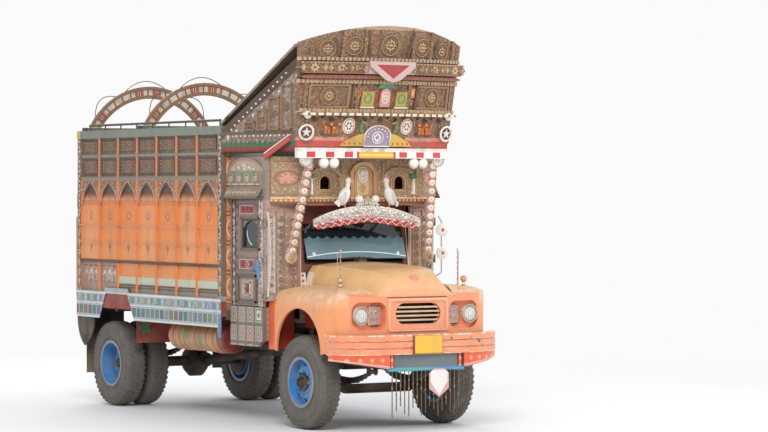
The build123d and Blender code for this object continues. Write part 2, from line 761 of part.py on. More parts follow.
def make_side_walls():
    """Timber frame and panels of the left wall, with an arched niche in each bay; the right is its mirror."""
    outer = wall_outer_x
    inner = outer - wall_frame
    panel_outer = outer - 20
    front = body_front_y
    rear = body_rear_y
    sill_low = floor_z - sill_height
    beam_low = wall_top_z - top_beam_height
    members = [block(inner, outer, front, rear, sill_low, floor_z + 70),
               block(inner, outer + 8, front, rear, beam_low, wall_top_z),
               block(inner, outer, front, front + post_width, sill_low, beam_low + 1),
               block(inner, outer, rear - post_width, rear, sill_low, beam_low + 1),
               block(panel_outer - wall_panel, panel_outer, front + 1, rear - 1, floor_z, beam_low + 1)]
    rails = ((mid_rail_z, mid_rail_height, 16), (spring_rail_z, spring_rail_height, 18), (divider_rail_z, 30, 12))
    for middle, height, proud in rails:
        members.append(block(panel_outer - 1, panel_outer + proud, front + 1, rear - 1,
                             middle - height / 2, middle + height / 2))
    bay = (rear - front - 2 * post_width) / bay_count
    ribs = [front + post_width + bay * number for number in range(1, bay_count)]
    for middle in ribs:
        members.append(block(inner, outer, middle - rib_width / 2, middle + rib_width / 2, floor_z, beam_low + 1))
    fascia_top = spring_rail_z - spring_rail_height / 2 + 1
    fascia_low = arch_spring_z - 70
    for number in range(bay_count):
        middle = front + post_width + bay * (number + 0.5)
        board = block(panel_outer - 1, panel_outer + fascia_thickness, middle - bay / 2, middle + bay / 2,
                      fascia_low, fascia_top)
        niche = pointed_arch(bay / 2 - rib_width / 2 - 22, fascia_low - 1, arch_spring_z, arch_top_z)
        members.append(board - Pos(0, middle, 0) * across(niche, panel_outer, outer))
    wall = fused(members)
    save("side_walls", wall, mirrored(wall))


def make_end_boards():
    """Front bulkhead of the load body and the header across its rear, between the side walls."""
    half = wall_outer_x - wall_frame - seat_gap
    low = floor_z - bulkhead_rebate + seat_gap
    back = body_front_y + bulkhead_depth
    front = block(-half, half, body_front_y, body_front_y + 32, low, wall_top_z)
    posts = []
    for x in (-half, -half / 3, half / 3 - 70, half - 70):
        posts.append(block(x, x + 70, body_front_y + 31, back, low, wall_top_z))
    rail = block(-half, half, body_front_y + 31, back, wall_top_z - 90, wall_top_z)
    header_face = outline((-half, header_z), (-half, wall_top_z), (half, wall_top_z), (half, header_z))
    opening = make_face(ThreePointArc((half - 90, header_z - 1), (0, header_z + 130), (-half + 90, header_z - 1))
                        + Line((-half + 90, header_z - 1), (half - 90, header_z - 1)))
    header = along(header_face, body_rear_y - 50, body_rear_y) - along(opening, body_rear_y - 60, body_rear_y + 10)
    save("end_boards", fused([front, rail] + posts), header)


def make_tailgate():
    """Framed gate that drops on pins at the floor's rear edge."""
    half = wall_outer_x - 6
    low = hinge_z + 24
    high = low + tailgate_height
    front = body_rear_y + seat_gap + 5
    rear = rear_end_y
    board = block(-half, half, front, front + 22, low, high)
    frame = []
    for x in (-half, -half / 3 - 35, half / 3 - 35, half - 70):
        frame.append(block(x, x + 70, front + 21, rear, low, high))
    for z in (low, low + tailgate_height / 2 - 35, high - 70):
        frame.append(block(-half, half, front + 21, rear - 4, z, z + 70))
    straps = []
    for x in hinge_places:
        start = x - hinge_width / 2 + 2
        end = x + hinge_width / 2 - 2
        straps.append(block(start, end, hinge_y - 8, hinge_y + 8, hinge_z, low + 1))
        straps.append(rod((start, hinge_y, hinge_z), (end, hinge_y, hinge_z), 18))
    gate = fused([board] + frame + straps)
    bore = rod((-half, hinge_y, hinge_z), (half, hinge_y, hinge_z), hinge_pin_radius + pin_gap)
    save("tailgate", gate - bore)


def hoop_band(y, foot, outer_drop, inner_drop, thickness):
    """Arched band between two depths below the hoop's outer line."""
    half = hoop_half_span
    top = ThreePointArc((-half + outer_drop, foot), (0, foot + hoop_rise - outer_drop), (half - outer_drop, foot))
    low = ThreePointArc((half - inner_drop, foot), (0, foot + hoop_rise - inner_drop), (-half + inner_drop, foot))
    feet = Line(top @ 1, low @ 0) + Line(low @ 1, top @ 0)
    arch = along(make_face(top + low + feet), y - thickness / 2, y + thickness / 2)
    return Pos(hoop_middle_x, 0, 0) * arch


def make_hoops():
    """Two arched hoops on cross bars between the walls and a thin hand rail on posts along each side."""
    parts = []
    base = wall_top_z + seat_gap
    foot = base + hoop_bar_height - 1
    for inset in (hoop_rear_inset, hoop_rear_inset + hoop_spacing):
        y = body_rear_y - inset
        cross_bar = block(-wall_outer_x, wall_outer_x, y - 30, y + 30, base, foot + 1)
        web_depth = hoop_depth - hoop_bar
        parts.append(fused([hoop_band(y, foot, 0, hoop_bar, hoop_bar),
                            hoop_band(y, foot, hoop_bar - 1, web_depth + 1, hoop_web),
                            hoop_band(y, foot, web_depth, hoop_depth, hoop_bar), cross_bar]))
    rail_x = wall_outer_x - wall_frame / 2 + 12
    rail = [rod((rail_x, body_front_y + 60, hand_rail_z), (rail_x, body_rear_y - 310, hand_rail_z),
                hand_rail_radius)]
    spacing = (body_rear_y - body_front_y - 390) / 8
    for number in range(9):
        y = body_front_y + 70 + spacing * number
        rail.append(rod((rail_x, y, base), (rail_x, y, hand_rail_z), 8))
    parts += both_sides(fused(rail))
    save("hoops", *parts)


def make_body_skirts():
    """Painted sheet below each wall, cut away over the rear wheels."""
    start = wall_outer_x + seat_gap
    top = skirt_top_z
    low = skirt_bottom_z
    half_top = cutout_top_length / 2
    half_low = cutout_bottom_length / 2
    middle = rear_axle_y - cutout_ahead
    face = outline((body_front_y, top), (body_front_y, low - 110), (body_front_y + 60, low - 110),
                   (body_front_y + 75, low), (middle - half_low, low), (middle - half_top, cutout_top_z),
                   (middle + half_top, cutout_top_z), (middle + half_low, low), (body_rear_y, low),
                   (body_rear_y, top), (middle + half_top + 30, top), (middle + half_top + 12, top + 45),
                   (middle - half_top - 12, top + 45), (middle - half_top - 30, top))
    sheet = across(face, start, start + skirt_thickness)
    save("body_skirts", sheet, mirrored(sheet))


def make_rear_guards():
    """Mud boards before and behind the rear wheels, and a pointed flap under each rear corner."""
    inner = rear_track / 2 - twin_spacing / 2 - tyre_width / 2 + 20
    outer = wall_outer_x - wall_frame - 20
    parts = []
    for number, low in guard_boards:
        y = bearer_middle(number) - bearer_width / 2 - seat_gap
        parts.append(block(inner, outer, y - 12, y, low, floor_bottom_z - 2))
    flap_middle = body_rear_y - 190
    tip = 700
    top = skirt_bottom_z + 60
    left = ThreePointArc((flap_middle - 270, top), (flap_middle - 235, 905), (flap_middle, tip))
    right = ThreePointArc((flap_middle, tip), (flap_middle + 170, 905), (flap_middle + 185, top))
    flap = across(make_face(left + right + Line(right @ 1, left @ 0)), wall_outer_x - 14, wall_outer_x)
    hang = block(wall_outer_x - 14, wall_outer_x, flap_middle - 260, flap_middle + 180,
                 top - 1, floor_z - sill_height - seat_gap)
    parts.append(flap + hang)
    save("rear_guards", *(item for part in parts for item in both_sides(part)))


def bonnet_section(y, half, edge_z, top_z, plateau, swell):
    """Closed section across the bonnet: flat foot, curved sides and a low arch over the middle."""
    plane = Plane(origin=(0, y, 0), x_dir=(1, 0, 0), z_dir=(0, -1, 0))
    foot = edge_z - bonnet_foot
    side = (half * plateau, edge_z + (top_z - edge_z) * 0.84)
    run = Vector(side[0] - half, side[1] - edge_z)
    across_run = Vector(-run.Y, run.X).normalized() * -swell
    bend = ((half + side[0]) / 2 + across_run.X, (edge_z + side[1]) / 2 + across_run.Y)
    arch = ThreePointArc((half, edge_z), bend, side)
    arch += ThreePointArc(side, (0, top_z), (-side[0], side[1]))
    arch += ThreePointArc((-side[0], side[1]), (-bend[0], bend[1]), (-half, edge_z))
    rest = Polyline((-half, edge_z), (-half, foot), (half, foot), (half, edge_z))
    return plane * make_face(arch + rest)


def bonnet_half_at(y):
    """Half width of the bonnet inside its cut in the wings."""
    if y > bonnet_middle_y:
        share = (y - bonnet_middle_y) / (bonnet_rear_y + bonnet_cut_run - bonnet_middle_y)
        return bonnet_middle_half + (bonnet_rear_half - bonnet_middle_half) * share - shut_gap / 2
    share = (bonnet_middle_y - y) / (bonnet_middle_y - bonnet_front_y)
    return bonnet_middle_half + (bonnet_front_half - bonnet_middle_half) * share - shut_gap / 2


def bonnet_shape(share):
    """Place, half width, edge height, crest height, plateau and swell at a share of the bonnet's length."""
    y = bonnet_rear_y + (bonnet_front_y - bonnet_rear_y) * share
    edge = bonnet_edge_z - bonnet_edge_slope * share ** 2 - bonnet_edge_dip * share ** 5
    crest = scuttle_z - bonnet_crest_slope * share ** 2 - bonnet_crest_dip * share ** 10
    plateau = bonnet_rear_plateau + (bonnet_front_plateau - bonnet_rear_plateau) * share
    swell = bonnet_rear_swell + (bonnet_front_swell - bonnet_rear_swell) * share
    return y, bonnet_half_at(y), edge, crest, plateau, swell


def scuttle_block(y0, y1, low):
    """Arched bulkhead that continues the bonnet's rear section."""
    half = bonnet_rear_half - 1 - seat_gap
    section = bonnet_section(0, half, bonnet_edge_z, scuttle_z, bonnet_rear_plateau, bonnet_rear_swell)
    tall = extrude(section, y1 - y0)
    body = Pos(0, y1, 0) * tall
    return body + block(-half, half, y0, y1, low, bonnet_edge_z)


def make_cab_shell():
    """Hollow cab: floor, roof, back wall, cowl, corner posts and the panels above and below each door."""
    half = cab_half_width
    inner = half - cab_wall
    rear = cab_rear_y
    pillar = screen_half_width + pillar_width
    roof_front = forehead_front_y + 45
    roof = outline((-half, rear), (half, rear), (half, cowl_rear_y), (cab_front_half_width, roof_front),
                   (-cab_front_half_width, roof_front), (-half, cowl_rear_y))
    tuck = inner - 3
    pieces = [block(-tuck, tuck, rear - cab_wall, rear, cab_floor_z, cab_roof_z + 1),
              block(-inner - 1, inner + 1, cowl_rear_y, rear - 1, cab_floor_z, cab_floor_z + cab_floor_thickness),
              block(-pillar, pillar, corner_front_y, cowl_rear_y + 1, cab_floor_z,
                    cab_floor_z + cab_floor_thickness),
              upward(roof, cab_roof_z, cab_roof_z + cab_roof_thickness),
              block(-pillar, pillar, screen_top_y + 5, screen_top_y + cab_wall, screen_top_z + 4, cab_roof_z + 1),
              block(-pillar, pillar, corner_front_y, corner_front_y + 40, cab_floor_z, bonnet_edge_z),
              scuttle_block(bonnet_rear_y + shut_gap, corner_front_y + 40, bonnet_edge_z - 120)]
    for piece in cab_side_pieces():
        pieces += [piece, mirrored(piece)]
    seat_half = inner - 60
    seat_y = rear - cab_wall - 8
    floor = cab_floor_z + cab_floor_thickness
    pieces.append(block(-seat_half, seat_half, seat_y - 480, seat_y - 130, floor - 1, floor + seat_base_height))
    for z in door_hinge_heights:
        pieces += both_sides(hinge_post_leaf(z))
    y = bonnet_pin_y
    z = bonnet_pin_z
    pieces.append(rod((-66, y, z), (66, y, z), bonnet_pin_radius))
    pieces += both_sides(rod((55, y, z), (68, y, z), bonnet_lug_radius))
    pieces += both_sides(block(55, 68, y, y + 30, z - bonnet_lug_radius + 1, z + bonnet_lug_radius - 1))
    pieces += both_sides(block(55, 68, y + 6, y + 30, scuttle_z - 8, z))
    save("cab_shell", fused(pieces))


def cab_side_pieces():
    """Left side of the cab shell."""
    half = cab_half_width
    inner = half - cab_wall
    rear = cab_rear_y
    pillar = screen_half_width + pillar_width
    sill_z = door_bottom_z - shut_gap
    head_z = door_top_z + shut_gap
    front_y = door_front_y - shut_gap
    above = block(inner, half, front_y - 1, rear - 1, head_z, cab_roof_z + 1)
    below = across(outline((cowl_rear_y, sill_z), (rear - 1, sill_z), (rear - 1, cab_skirt_bottom_z),
                           (cowl_rear_y + 130, cab_skirt_bottom_z), (cowl_rear_y, cab_skirt_bottom_z + 70)),
                   inner, half)
    rear_post = block(inner - 10, half, door_rear_y + shut_gap, rear, sill_z - 1, head_z + 1)
    rear_low = block(frame_half_width + 130, half, rear - cab_wall, rear, cab_skirt_bottom_z, sill_z)
    front_wall = block(pillar - 1, inner + 1, cowl_rear_y, cowl_rear_y + 40, cab_skirt_bottom_z + 70, sill_z)
    front_wall += block(pillar - 1, inner - 30, cowl_rear_y, cowl_rear_y + 40, sill_z - 1, corner_low_z + 1)
    bend = (half - 18, door_front_y - 60)
    corner = outline((pillar - 1, corner_front_y), bend, (half, front_y), (inner, front_y),
                     (pillar - 1, corner_front_y + cab_wall))
    corner = upward(corner, corner_low_z, cab_roof_z + 1)
    shelf = outline((pillar - 1, corner_front_y), bend, (half, front_y), (inner - 30, front_y),
                    (inner - 30, cowl_rear_y + 40), (pillar - 1, cowl_rear_y + 40))
    shelf = upward(shelf, corner_low_z, corner_low_z + 24)
    post_low = scuttle_z - 260
    post = outline((corner_front_y, post_low), (corner_front_y + cab_wall, post_low),
                   (screen_top_y + cab_wall, screen_top_z + 5), (screen_top_y + 5, screen_top_z + 5))
    post = across(post, screen_half_width + 2, pillar)
    return [above, below, rear_post, rear_low, front_wall, corner, shelf, post]


def make_windscreen():
    """Flat sloping glass in a thin frame, behind the line of the scuttle."""
    run = screen_top_y - screen_bottom_y
    rise = screen_top_z - screen_bottom_z
    length = math.hypot(run, rise)
    tilt = Vector(0, run, rise).normalized()
    plane = Plane(origin=(0, screen_bottom_y + 6, screen_bottom_z), x_dir=(1, 0, 0), z_dir=(0, -tilt.Z, tilt.Y))
    half = screen_half_width + 2 - seat_gap
    face = plane * outline((-half, 0), (half, 0), (half, length), (-half, length))
    save("windscreen", extrude(face, -glass_thickness))


def door_window(inset=0):
    """Arched window outline in (y, z)."""
    middle = (window_front_y + window_rear_y) / 2
    half = (window_rear_y - window_front_y) / 2 - inset
    low = window_bottom_z + inset
    spring = window_top_z - 90
    top = window_top_z - inset
    arch = ThreePointArc((middle - half, spring), (middle, top), (middle + half, spring))
    rest = Polyline((middle + half, spring), (middle + half, low), (middle - half, low), (middle - half, spring))
    return make_face(arch + rest)


def make_door(name, side):
    """Door leaf with a window, raised panels and three pinned straps on its front edge."""
    half = cab_half_width
    inner = half - cab_wall
    leaf = across(outline((door_front_y, door_bottom_z), (door_rear_y, door_bottom_z),
                          (door_rear_y, door_top_z), (door_front_y, door_top_z)), inner, half)
    leaf -= across(door_window(), inner - 1, half + 1)
    front = door_front_y + 110
    rear = door_rear_y - 150
    for low, high in door_panels:
        leaf -= block(half - door_panel_sink, half + 1, front, rear, low, high)
        leaf += block(half - door_panel_sink - 1, half - 1, front + door_panel_margin, rear - door_panel_margin,
                      low + door_panel_margin, high - door_panel_margin)
    straps = []
    for z in door_hinge_heights:
        straps.append(block(half - 1, half + 6, door_front_y + 2, door_front_y + 90, z - 22, z + 22))
        straps.append(block(half - 1, door_pin_x, door_front_y + 2, door_front_y + 26, z - 22, z + 22))
        straps.append(block(half - 1, door_pin_x + 6, door_pin_y, door_front_y + 26, z - 22, z + 22))
        straps.append(rod((door_pin_x, door_pin_y, z - 22), (door_pin_x, door_pin_y, z + 22), 12))
    leaf = fused([leaf] + straps)
    leaf -= rod((door_pin_x, door_pin_y, door_bottom_z), (door_pin_x, door_pin_y, door_top_z),
                door_pin_radius + pin_gap)
    save(f"door_{name}", leaf if side > 0 else mirrored(leaf))
    middle_x = (half + inner) / 2
    glass = across(door_window(seat_gap), middle_x - glass_thickness / 2, middle_x + glass_thickness / 2)
    save(f"door_glass_{name}", glass if side > 0 else mirrored(glass))


def hinge_post_leaf(z):
    """Fixed half of a left door hinge on the corner post, with its pin."""
    half = cab_half_width
    ears = [block(half - 1, half + 6, door_pin_y - 60, door_pin_y - 14, z - 46, z + 46)]
    for low in (z - 46, z + 24):
        ears.append(block(half - 1, door_pin_x + 6, door_pin_y - 30, door_pin_y, low, low + 22))
        ears.append(rod((door_pin_x, door_pin_y, low), (door_pin_x, door_pin_y, low + 22), 12))
    ears.append(rod((door_pin_x, door_pin_y, z - 44), (door_pin_x, door_pin_y, z + 44), door_pin_radius))
    return fused(ears)


def make_cab_inside():
    """Bench seat, dashboard with steering column, and the steering wheel."""
    seat_y = cab_rear_y - cab_wall - 8
    floor = cab_floor_z + cab_floor_thickness
    half = cab_half_width - cab_wall - 60
    cushion = block(-half, half, seat_y - 520, seat_y - 120, floor + seat_base_height + seat_gap, floor + 400)
    back = block(-half, half, seat_y - 120 + seat_gap, seat_y, floor + 300, floor + 900)
    cushion = fillet(cushion.edges(), 30)
    back = fillet(back.edges(), 30)
    save("seat", cushion, back)
    dash_y = corner_front_y + 40 + seat_gap
    pillar = screen_half_width
    face = outline((dash_y, 1500), (dash_y, 1770), (dash_y + 60, 1790), (dash_y + 190, 1760), (dash_y + 200, 1640),
                   (dash_y + 120, 1500))
    dash = across(face, -pillar, pillar)
    wheel = Vector(steering_x, steering_y, steering_z)
    axis = Vector(0, math.sin(math.radians(steering_tilt)), math.cos(math.radians(steering_tilt)))
    column_top = wheel - axis * (steering_hub_depth + seat_gap)
    column_low = wheel - axis * 620
    column = rod(column_top, column_low, 24)
    dash = dash + column
    dash -= block(-half, half, dash_y - 200, dash_y, 900, 2200)
    save("dashboard", dash)
    plane = Plane(origin=wheel, x_dir=(1, 0, 0), z_dir=axis)
    rim = plane * Torus(steering_radius, 13)
    hub = plane * Pos(0, 0, 15 - steering_hub_depth) * Cylinder(42, 30)
    spokes = [plane * Rot(0, 0, angle) * Pos(steering_radius / 2, 0, 0) * Box(steering_radius, 20, 9)
              for angle in (90, 210, 330)]
    save("steering_wheel", fused([rim, hub] + spokes))


def front_form(inset, low):
    """Solid of the whole front end: plan, front and side outlines extruded and intersected."""
    half = wing_half_width - inset
    nose = nose_y + inset
    top = wing_top_z - inset
    rear = wing_rear_y + (1 if inset else 0)
    corner = (nose_half_width - inset, wing_corner_y + inset)
    bulge = (half - 48, wing_bulge_y + inset * 0.6)
    right = Line((-half, rear), (-half, wing_bend_y))
    right += ThreePointArc((-half, wing_bend_y), (-bulge[0], bulge[1]), (-corner[0], corner[1]))
    left = ThreePointArc(corner, bulge, (half, wing_bend_y)) + Line((half, wing_bend_y), (half, rear))
    front = Polyline((-corner[0], corner[1]), (-400, nose), (400, nose), corner)
    plan = upward(make_face(right + front + left + Line((half, rear), (-half, rear))), low, wing_top_z + 100)
    shoulder = (half - wing_round_width, top - wing_crown_drop)
    shoulder_z = shoulder[1] - wing_round_height
    eighth = 1 - math.sqrt(0.5)
    arc_point = (half - wing_round_width * eighth, shoulder[1] - wing_round_height * eighth)
    sides = Polyline((-half, shoulder_z), (-half, low), (half, low), (half, shoulder_z))
    rounds = ThreePointArc((half, shoulder_z), arc_point, shoulder)
    rounds += ThreePointArc((-shoulder[0], shoulder[1]), (-arc_point[0], arc_point[1]), (-half, shoulder_z))
    crest = Polyline(shoulder, (half - 400, top), (-half + 400, top), (-shoulder[0], shoulder[1]))
    front_view = along(make_face(sides + rounds + crest), nose_y - 50, wing_rear_y + 50)
    brow = (nose_y + inset, nose_top_z - 10 - inset)
    swell = (front_axle_y - 650, wing_top_z - 38 - inset)
    flat = (front_axle_y - 350, top)
    sweep = ThreePointArc(brow, swell, flat)
    outline_rest = Polyline(flat, (front_axle_y + 150, top), (rear, top - 90), (rear, low),
                            (nose_y + inset, low), brow)
    side_view = across(make_face(sweep + outline_rest), -half - 60, half + 60)
    return plan & front_view & side_view


def bonnet_outline(grow):
    """Plan of the bonnet, wide at the cowl and narrower at the nose."""
    front = bonnet_front_y - grow
    points = [(bonnet_front_half + grow, front), (bonnet_middle_half + grow, bonnet_middle_y),
              (bonnet_rear_half + grow, bonnet_rear_y + bonnet_cut_run)]
    return outline(*points, *[(-x, y) for x, y in reversed(points)])


def nose_zone(grow):
    """Space of the nose panel between the wings."""
    return block(-nose_half_width - grow, nose_half_width + grow, nose_y - 60, nose_rear_y + grow,
                 nose_bottom_z - grow, wing_top_z + 100)


def make_front_end():
    """Wings and nose cut from one thin shell, so that their surfaces run on from one to the next."""
    low = wing_bottom_z
    shell = front_form(0, low) - front_form(wing_wall, low - 1)
    shell -= upward(bonnet_outline(shut_gap / 2), bonnet_cut_z, wing_top_z + 200)
    wing = shell - nose_zone(seat_gap) - block(-nose_half_width, nose_half_width, nose_y - 60, front_axle_y - 700,
                                               low - 10, nose_bottom_z)
    wing &= block(0, wing_half_width + 10, nose_y - 60, wing_rear_y, low, wing_top_z + 10)
    arch = Pos(0, arch_centre_y, arch_centre_z) * Rot(0, 90, 0) * Cylinder(arch_radius, 200)
    arch += block(-100, 100, arch_centre_y - arch_radius, arch_centre_y + arch_radius, low - 60, arch_centre_z)
    wing -= Pos(wing_half_width, 0, 0) * arch
    lip_out = Pos(0, arch_centre_y, arch_centre_z) * Rot(0, 90, 0) * Cylinder(arch_radius + 14, 26)
    lip_in = Pos(0, arch_centre_y, arch_centre_z) * Rot(0, 90, 0) * Cylinder(arch_radius, 60)
    lip = (lip_out - lip_in) & block(-100, 100, arch_centre_y - 600, arch_centre_y + 600, arch_centre_z, 2000)
    wing += Pos(wing_half_width - 13, 0, 0) * lip
    rear_panel = block(screen_half_width + pillar_width + shut_gap, wing_half_width - 1, wing_rear_y - 20,
                       wing_rear_y, low, wing_rear_panel_z)
    inner_wall = block(wing_inner_x, wing_inner_x + 20, front_axle_y - 690, corner_front_y - shut_gap,
                       tyre_radius * 2 + 60, bonnet_edge_z - 34)
    wing = fused([wing, rear_panel, inner_wall])
    post_x = screen_half_width + pillar_width
    bend_y = door_front_y - 60 - shut_gap
    beyond = cowl_rear_y + 200
    cab_side = outline((wing_inner_x - 40, corner_front_y - shut_gap), (post_x, corner_front_y - shut_gap),
                       (cab_half_width - 18, bend_y), (cab_half_width + 40, bend_y),
                       (cab_half_width + 40, beyond), (wing_inner_x - 40, beyond))
    wing -= upward(cab_side, corner_low_z - shut_gap, wing_top_z + 100)
    save("wings", *both_sides(wing))

    nose = (shell & nose_zone(0)) - block(-frame_half_width, frame_half_width, nose_rear_y - 1, nose_rear_y + 5,
                                          0, 2000)
    for x in (-headlamp_x, headlamp_x):
        place = Pos(math.copysign(recess_x, x), recess_z)
        mouth = place * RectangleRounded(recess_width, recess_height, 95)
        rim = place * RectangleRounded(recess_width + 24, recess_height + 24, 104)
        box = along(rim, recess_front_y, recess_back_y) & front_form(0, low)
        nose = nose + box - along(mouth, nose_y - 60, recess_back_y - 14)
    frame_face = Pos(0, grille_middle_z) * RectangleRounded(750, 350, 30)
    nose += along(frame_face, nose_y - 18, nose_y + wing_wall)
    opening = Pos(0, (grille_bottom_z + grille_top_z) / 2) * SlotOverall(
        2 * grille_half_width, grille_top_z - grille_bottom_z)
    dish = Pos(0, grille_middle_z) * RectangleRounded(690, 290, 20)
    nose -= along(dish, nose_y - 60, nose_y - 6)
    nose -= along(opening, nose_y - 80, nose_y + 100)
    save("nose_panel", nose)

    slats = []
    pitch = (grille_top_z - grille_bottom_z) / (slat_count + 1)
    middle_z = (grille_bottom_z + grille_top_z) / 2
    for number in range(slat_count):
        z = grille_bottom_z + pitch * (number + 1)
        slats.append(block(-grille_half_width, grille_half_width, nose_y + wing_wall - 14, nose_y + wing_wall + 24,
                           z - 9, z + 9))
    ring = Pos(0, middle_z) * SlotOverall(2 * grille_half_width + 50, grille_top_z - grille_bottom_z + 50)
    ring = along(ring, nose_y + wing_wall + seat_gap, nose_y + wing_wall + 26)
    hole = Pos(0, middle_z) * SlotOverall(2 * grille_half_width - 8, grille_top_z - grille_bottom_z - 8)
    ring -= along(hole, nose_y, nose_y + 100)
    inside = along(Pos(0, middle_z) * SlotOverall(2 * grille_half_width - 2, grille_top_z - grille_bottom_z - 2),
                   nose_y - 50, nose_y + wing_wall + seat_gap)
    inside += block(-grille_half_width - 20, grille_half_width + 20, nose_y + wing_wall + seat_gap,
                    nose_y + 200, grille_bottom_z, grille_top_z)
    trimmed = [slat & inside for slat in slats]
    save("grille", fused([ring] + trimmed))


def make_bonnet():
    """Lid lofted through arched sections, with a hollow inside and a raised flat bulge."""
    outer = loft([bonnet_section(*bonnet_shape(share)) for share in bonnet_shares])
    inner_sections = []
    for share in bonnet_shares:
        y, half, edge, crest, plateau, swell = bonnet_shape(share)
        if share == 0:
            y += 30
        if share == 1:
            y += bonnet_wall
        inner_sections.append(bonnet_section(y, half - bonnet_wall, edge - 30, crest - bonnet_wall, plateau, swell))
    inner = loft(inner_sections)
    y = bonnet_pin_y
    z = bonnet_pin_z
    lug = rod((-50, y, z), (50, y, z), bonnet_lug_radius)
    lug += block(-50, 50, y - 42, bonnet_rear_y - 1, scuttle_z - 5, z + 3)
    bore = rod((-51, y, z), (51, y, z), bonnet_pin_radius + pin_gap)
    save("bonnet", fused([outer - inner, lug]) - bore)


def make_lamps():
    """Headlamps in their recesses, wing lamps on stalks with thin marker rods, and the crown's lamps."""
    parts = []
    for x in (-headlamp_x, headlamp_x):
        profile = outline((0, 0), (headlamp_radius - 16, 0), (headlamp_radius, 30), (headlamp_radius, 52),
                          (headlamp_radius - 14, 58), (0, 72))
        lamp = revolve(Plane.XZ * profile, Axis.Z)
        parts.append(Pos(x, recess_back_y - 14 - seat_gap, headlamp_z) * Rot(90, 0, 0) * lamp)
    save("headlamps", *parts)
    stalks = []
    top = wing_lamp_z
    stalk = rod((wing_lamp_x, wing_lamp_y, wing_lamp_foot_z + 4), (wing_lamp_x, wing_lamp_y, top - 20), 10)
    stalk += Pos(wing_lamp_x, wing_lamp_y, top) * Sphere(36)
    stalk += rod((wing_lamp_x, wing_lamp_y, wing_lamp_foot_z), (wing_lamp_x, wing_lamp_y, wing_lamp_foot_z + 8), 26)
    foot = Vector(wing_lamp_x - 42, wing_lamp_y + 60, marker_foot_z)
    marker = rod(foot + Vector(0, 0, 2), foot + Vector(0, 0, marker_height), 5)
    marker += rod(foot, foot + Vector(0, 0, 8), 18)
    stalks += both_sides(stalk) + both_sides(marker)
    save("wing_lamps", *stalks)


def bumper_band(setback, thickness):
    """Plan of the bumper: straight in the middle, with ends swept back."""
    def edge(back):
        y = bumper_y + back
        half = bumper_half_width
        end = ThreePointArc((-half, y + bumper_sweep), (-half * 0.78, y + bumper_sweep * 0.27), (-520, y))
        other = ThreePointArc((520, y), (half * 0.78, y + bumper_sweep * 0.27), (half, y + bumper_sweep))
        return end, Line(end @ 1, other @ 0), other
    outer = edge(setback)
    inner = edge(setback + thickness)
    sides = Line(outer[0] @ 0, inner[0] @ 0) + Line(outer[2] @ 1, inner[2] @ 1)
    return make_face(outer[0] + outer[1] + outer[2] + inner[0] + inner[1] + inner[2] + sides)


def make_bumper():
    """Pressed bumper of three broad ribs on two arms from the frame."""
    ribs = ((0.0, 0.29, 0), (0.29, 0.355, 16), (0.355, 0.645, 0), (0.645, 0.71, 16), (0.71, 1.0, 0))
    height = bumper_top_z - bumper_bottom_z
    layers = [upward(bumper_band(setback, bumper_thickness - setback), bumper_bottom_z + low * height,
                     bumper_bottom_z + high * height) for low, high, setback in ribs]
    layers.append(upward(bumper_band(0, bumper_thickness + 40), bumper_top_z - 12, bumper_top_z))
    arms = []
    for x in (-bumper_arm_x, bumper_arm_x):
        arms.append(block(x - 30, x + 30, bumper_y + bumper_thickness - 2, frame_nose_y - seat_gap,
                          bumper_bottom_z + 20, bumper_bottom_z + 130))
    save("bumper", fused(layers + arms))

    low = bar_z + 14
    sheet = upward(bumper_band(10, 8), low, bumper_bottom_z - seat_gap)
    window = outline((-470, low - 5), (-470, bumper_bottom_z), (470, bumper_bottom_z), (470, low - 5))
    sheet -= along(window, bumper_y - 50, bumper_y + 400)
    for sign in (-1, 1):
        corner = outline((sign * 470, low - 5), (sign * 1100, low - 5), (sign * 1100, low + 95))
        sheet -= along(corner, bumper_y - 50, bumper_y + 400)
    skirts = list(sheet.solids())
    tray = block(-400, 400, bumper_y + 40, bumper_y + 52, bar_z + 20 + seat_gap, bumper_bottom_z - seat_gap)

    bar = block(-bar_half_width, bar_half_width, bumper_y + 26, bumper_y + 72, bar_z - 20, bar_z + 20)
    bar = chamfer(bar.edges().filter_by(Axis.X), 12)
    for x in (-430, 430):
        bar += block(x - 14, x + 14, bumper_y + 30, bumper_y + 50, bar_z + 19, bumper_bottom_z - seat_gap)
    save("bumper_skirts", *skirts, tray, bar)

    plate = block(-190, 190, front_end_y, front_end_y + plate_thickness, bumper_bottom_z + 2, bumper_bottom_z + 202)
    shield_y = bumper_y + 26 - seat_gap
    middle = shield_x
    face = outline((middle - 125, shield_top_z), (middle - 125, shield_top_z - 165), (middle, shield_top_z - 258),
                   (middle + 125, shield_top_z - 165), (middle + 125, shield_top_z),
                   (middle + 60, shield_top_z + 50), (middle - 60, shield_top_z + 50))
    save("plates", plate, along(face, shield_y - 6, shield_y))


def make_fringes():
    """Rows of hanging chains under the front bar and at the rear corners."""
    parts = []
    count = 17
    for number in range(count):
        x = -bar_half_width + 60 + number * (2 * bar_half_width - 120) / (count - 1)
        length = 430 + 60 * math.cos(number * 1.7)
        parts.append(rod((x, bumper_y + 50, bar_z - 20 - seat_gap), (x, bumper_y + 50, bar_z - 20 - length), 6))
    save("front_fringe", *parts)


def crown_band(half, side_y, bow, thickness):
    """Plan of a bowed board: an arc whose ends lie at side_y."""
    outer = ThreePointArc((-half, side_y), (0, side_y - bow), (half, side_y))
    inner = ThreePointArc((half, side_y + thickness), (0, side_y - bow + thickness), (-half, side_y + thickness))
    return make_face(outer + inner + Line(outer @ 1, inner @ 0) + Line(inner @ 1, outer @ 0))


def crown_shape(z):
    """Half width, side place and bow of the crown's front at a height."""
    share = (z - crown_foot_z) / (crown_corner_z - crown_foot_z)
    half = crown_foot_half + (crown_top_half - crown_foot_half) * share
    return half, crown_foot_y - crown_lean_reach * share, crown_foot_bow + (crown_top_bow - crown_foot_bow) * share


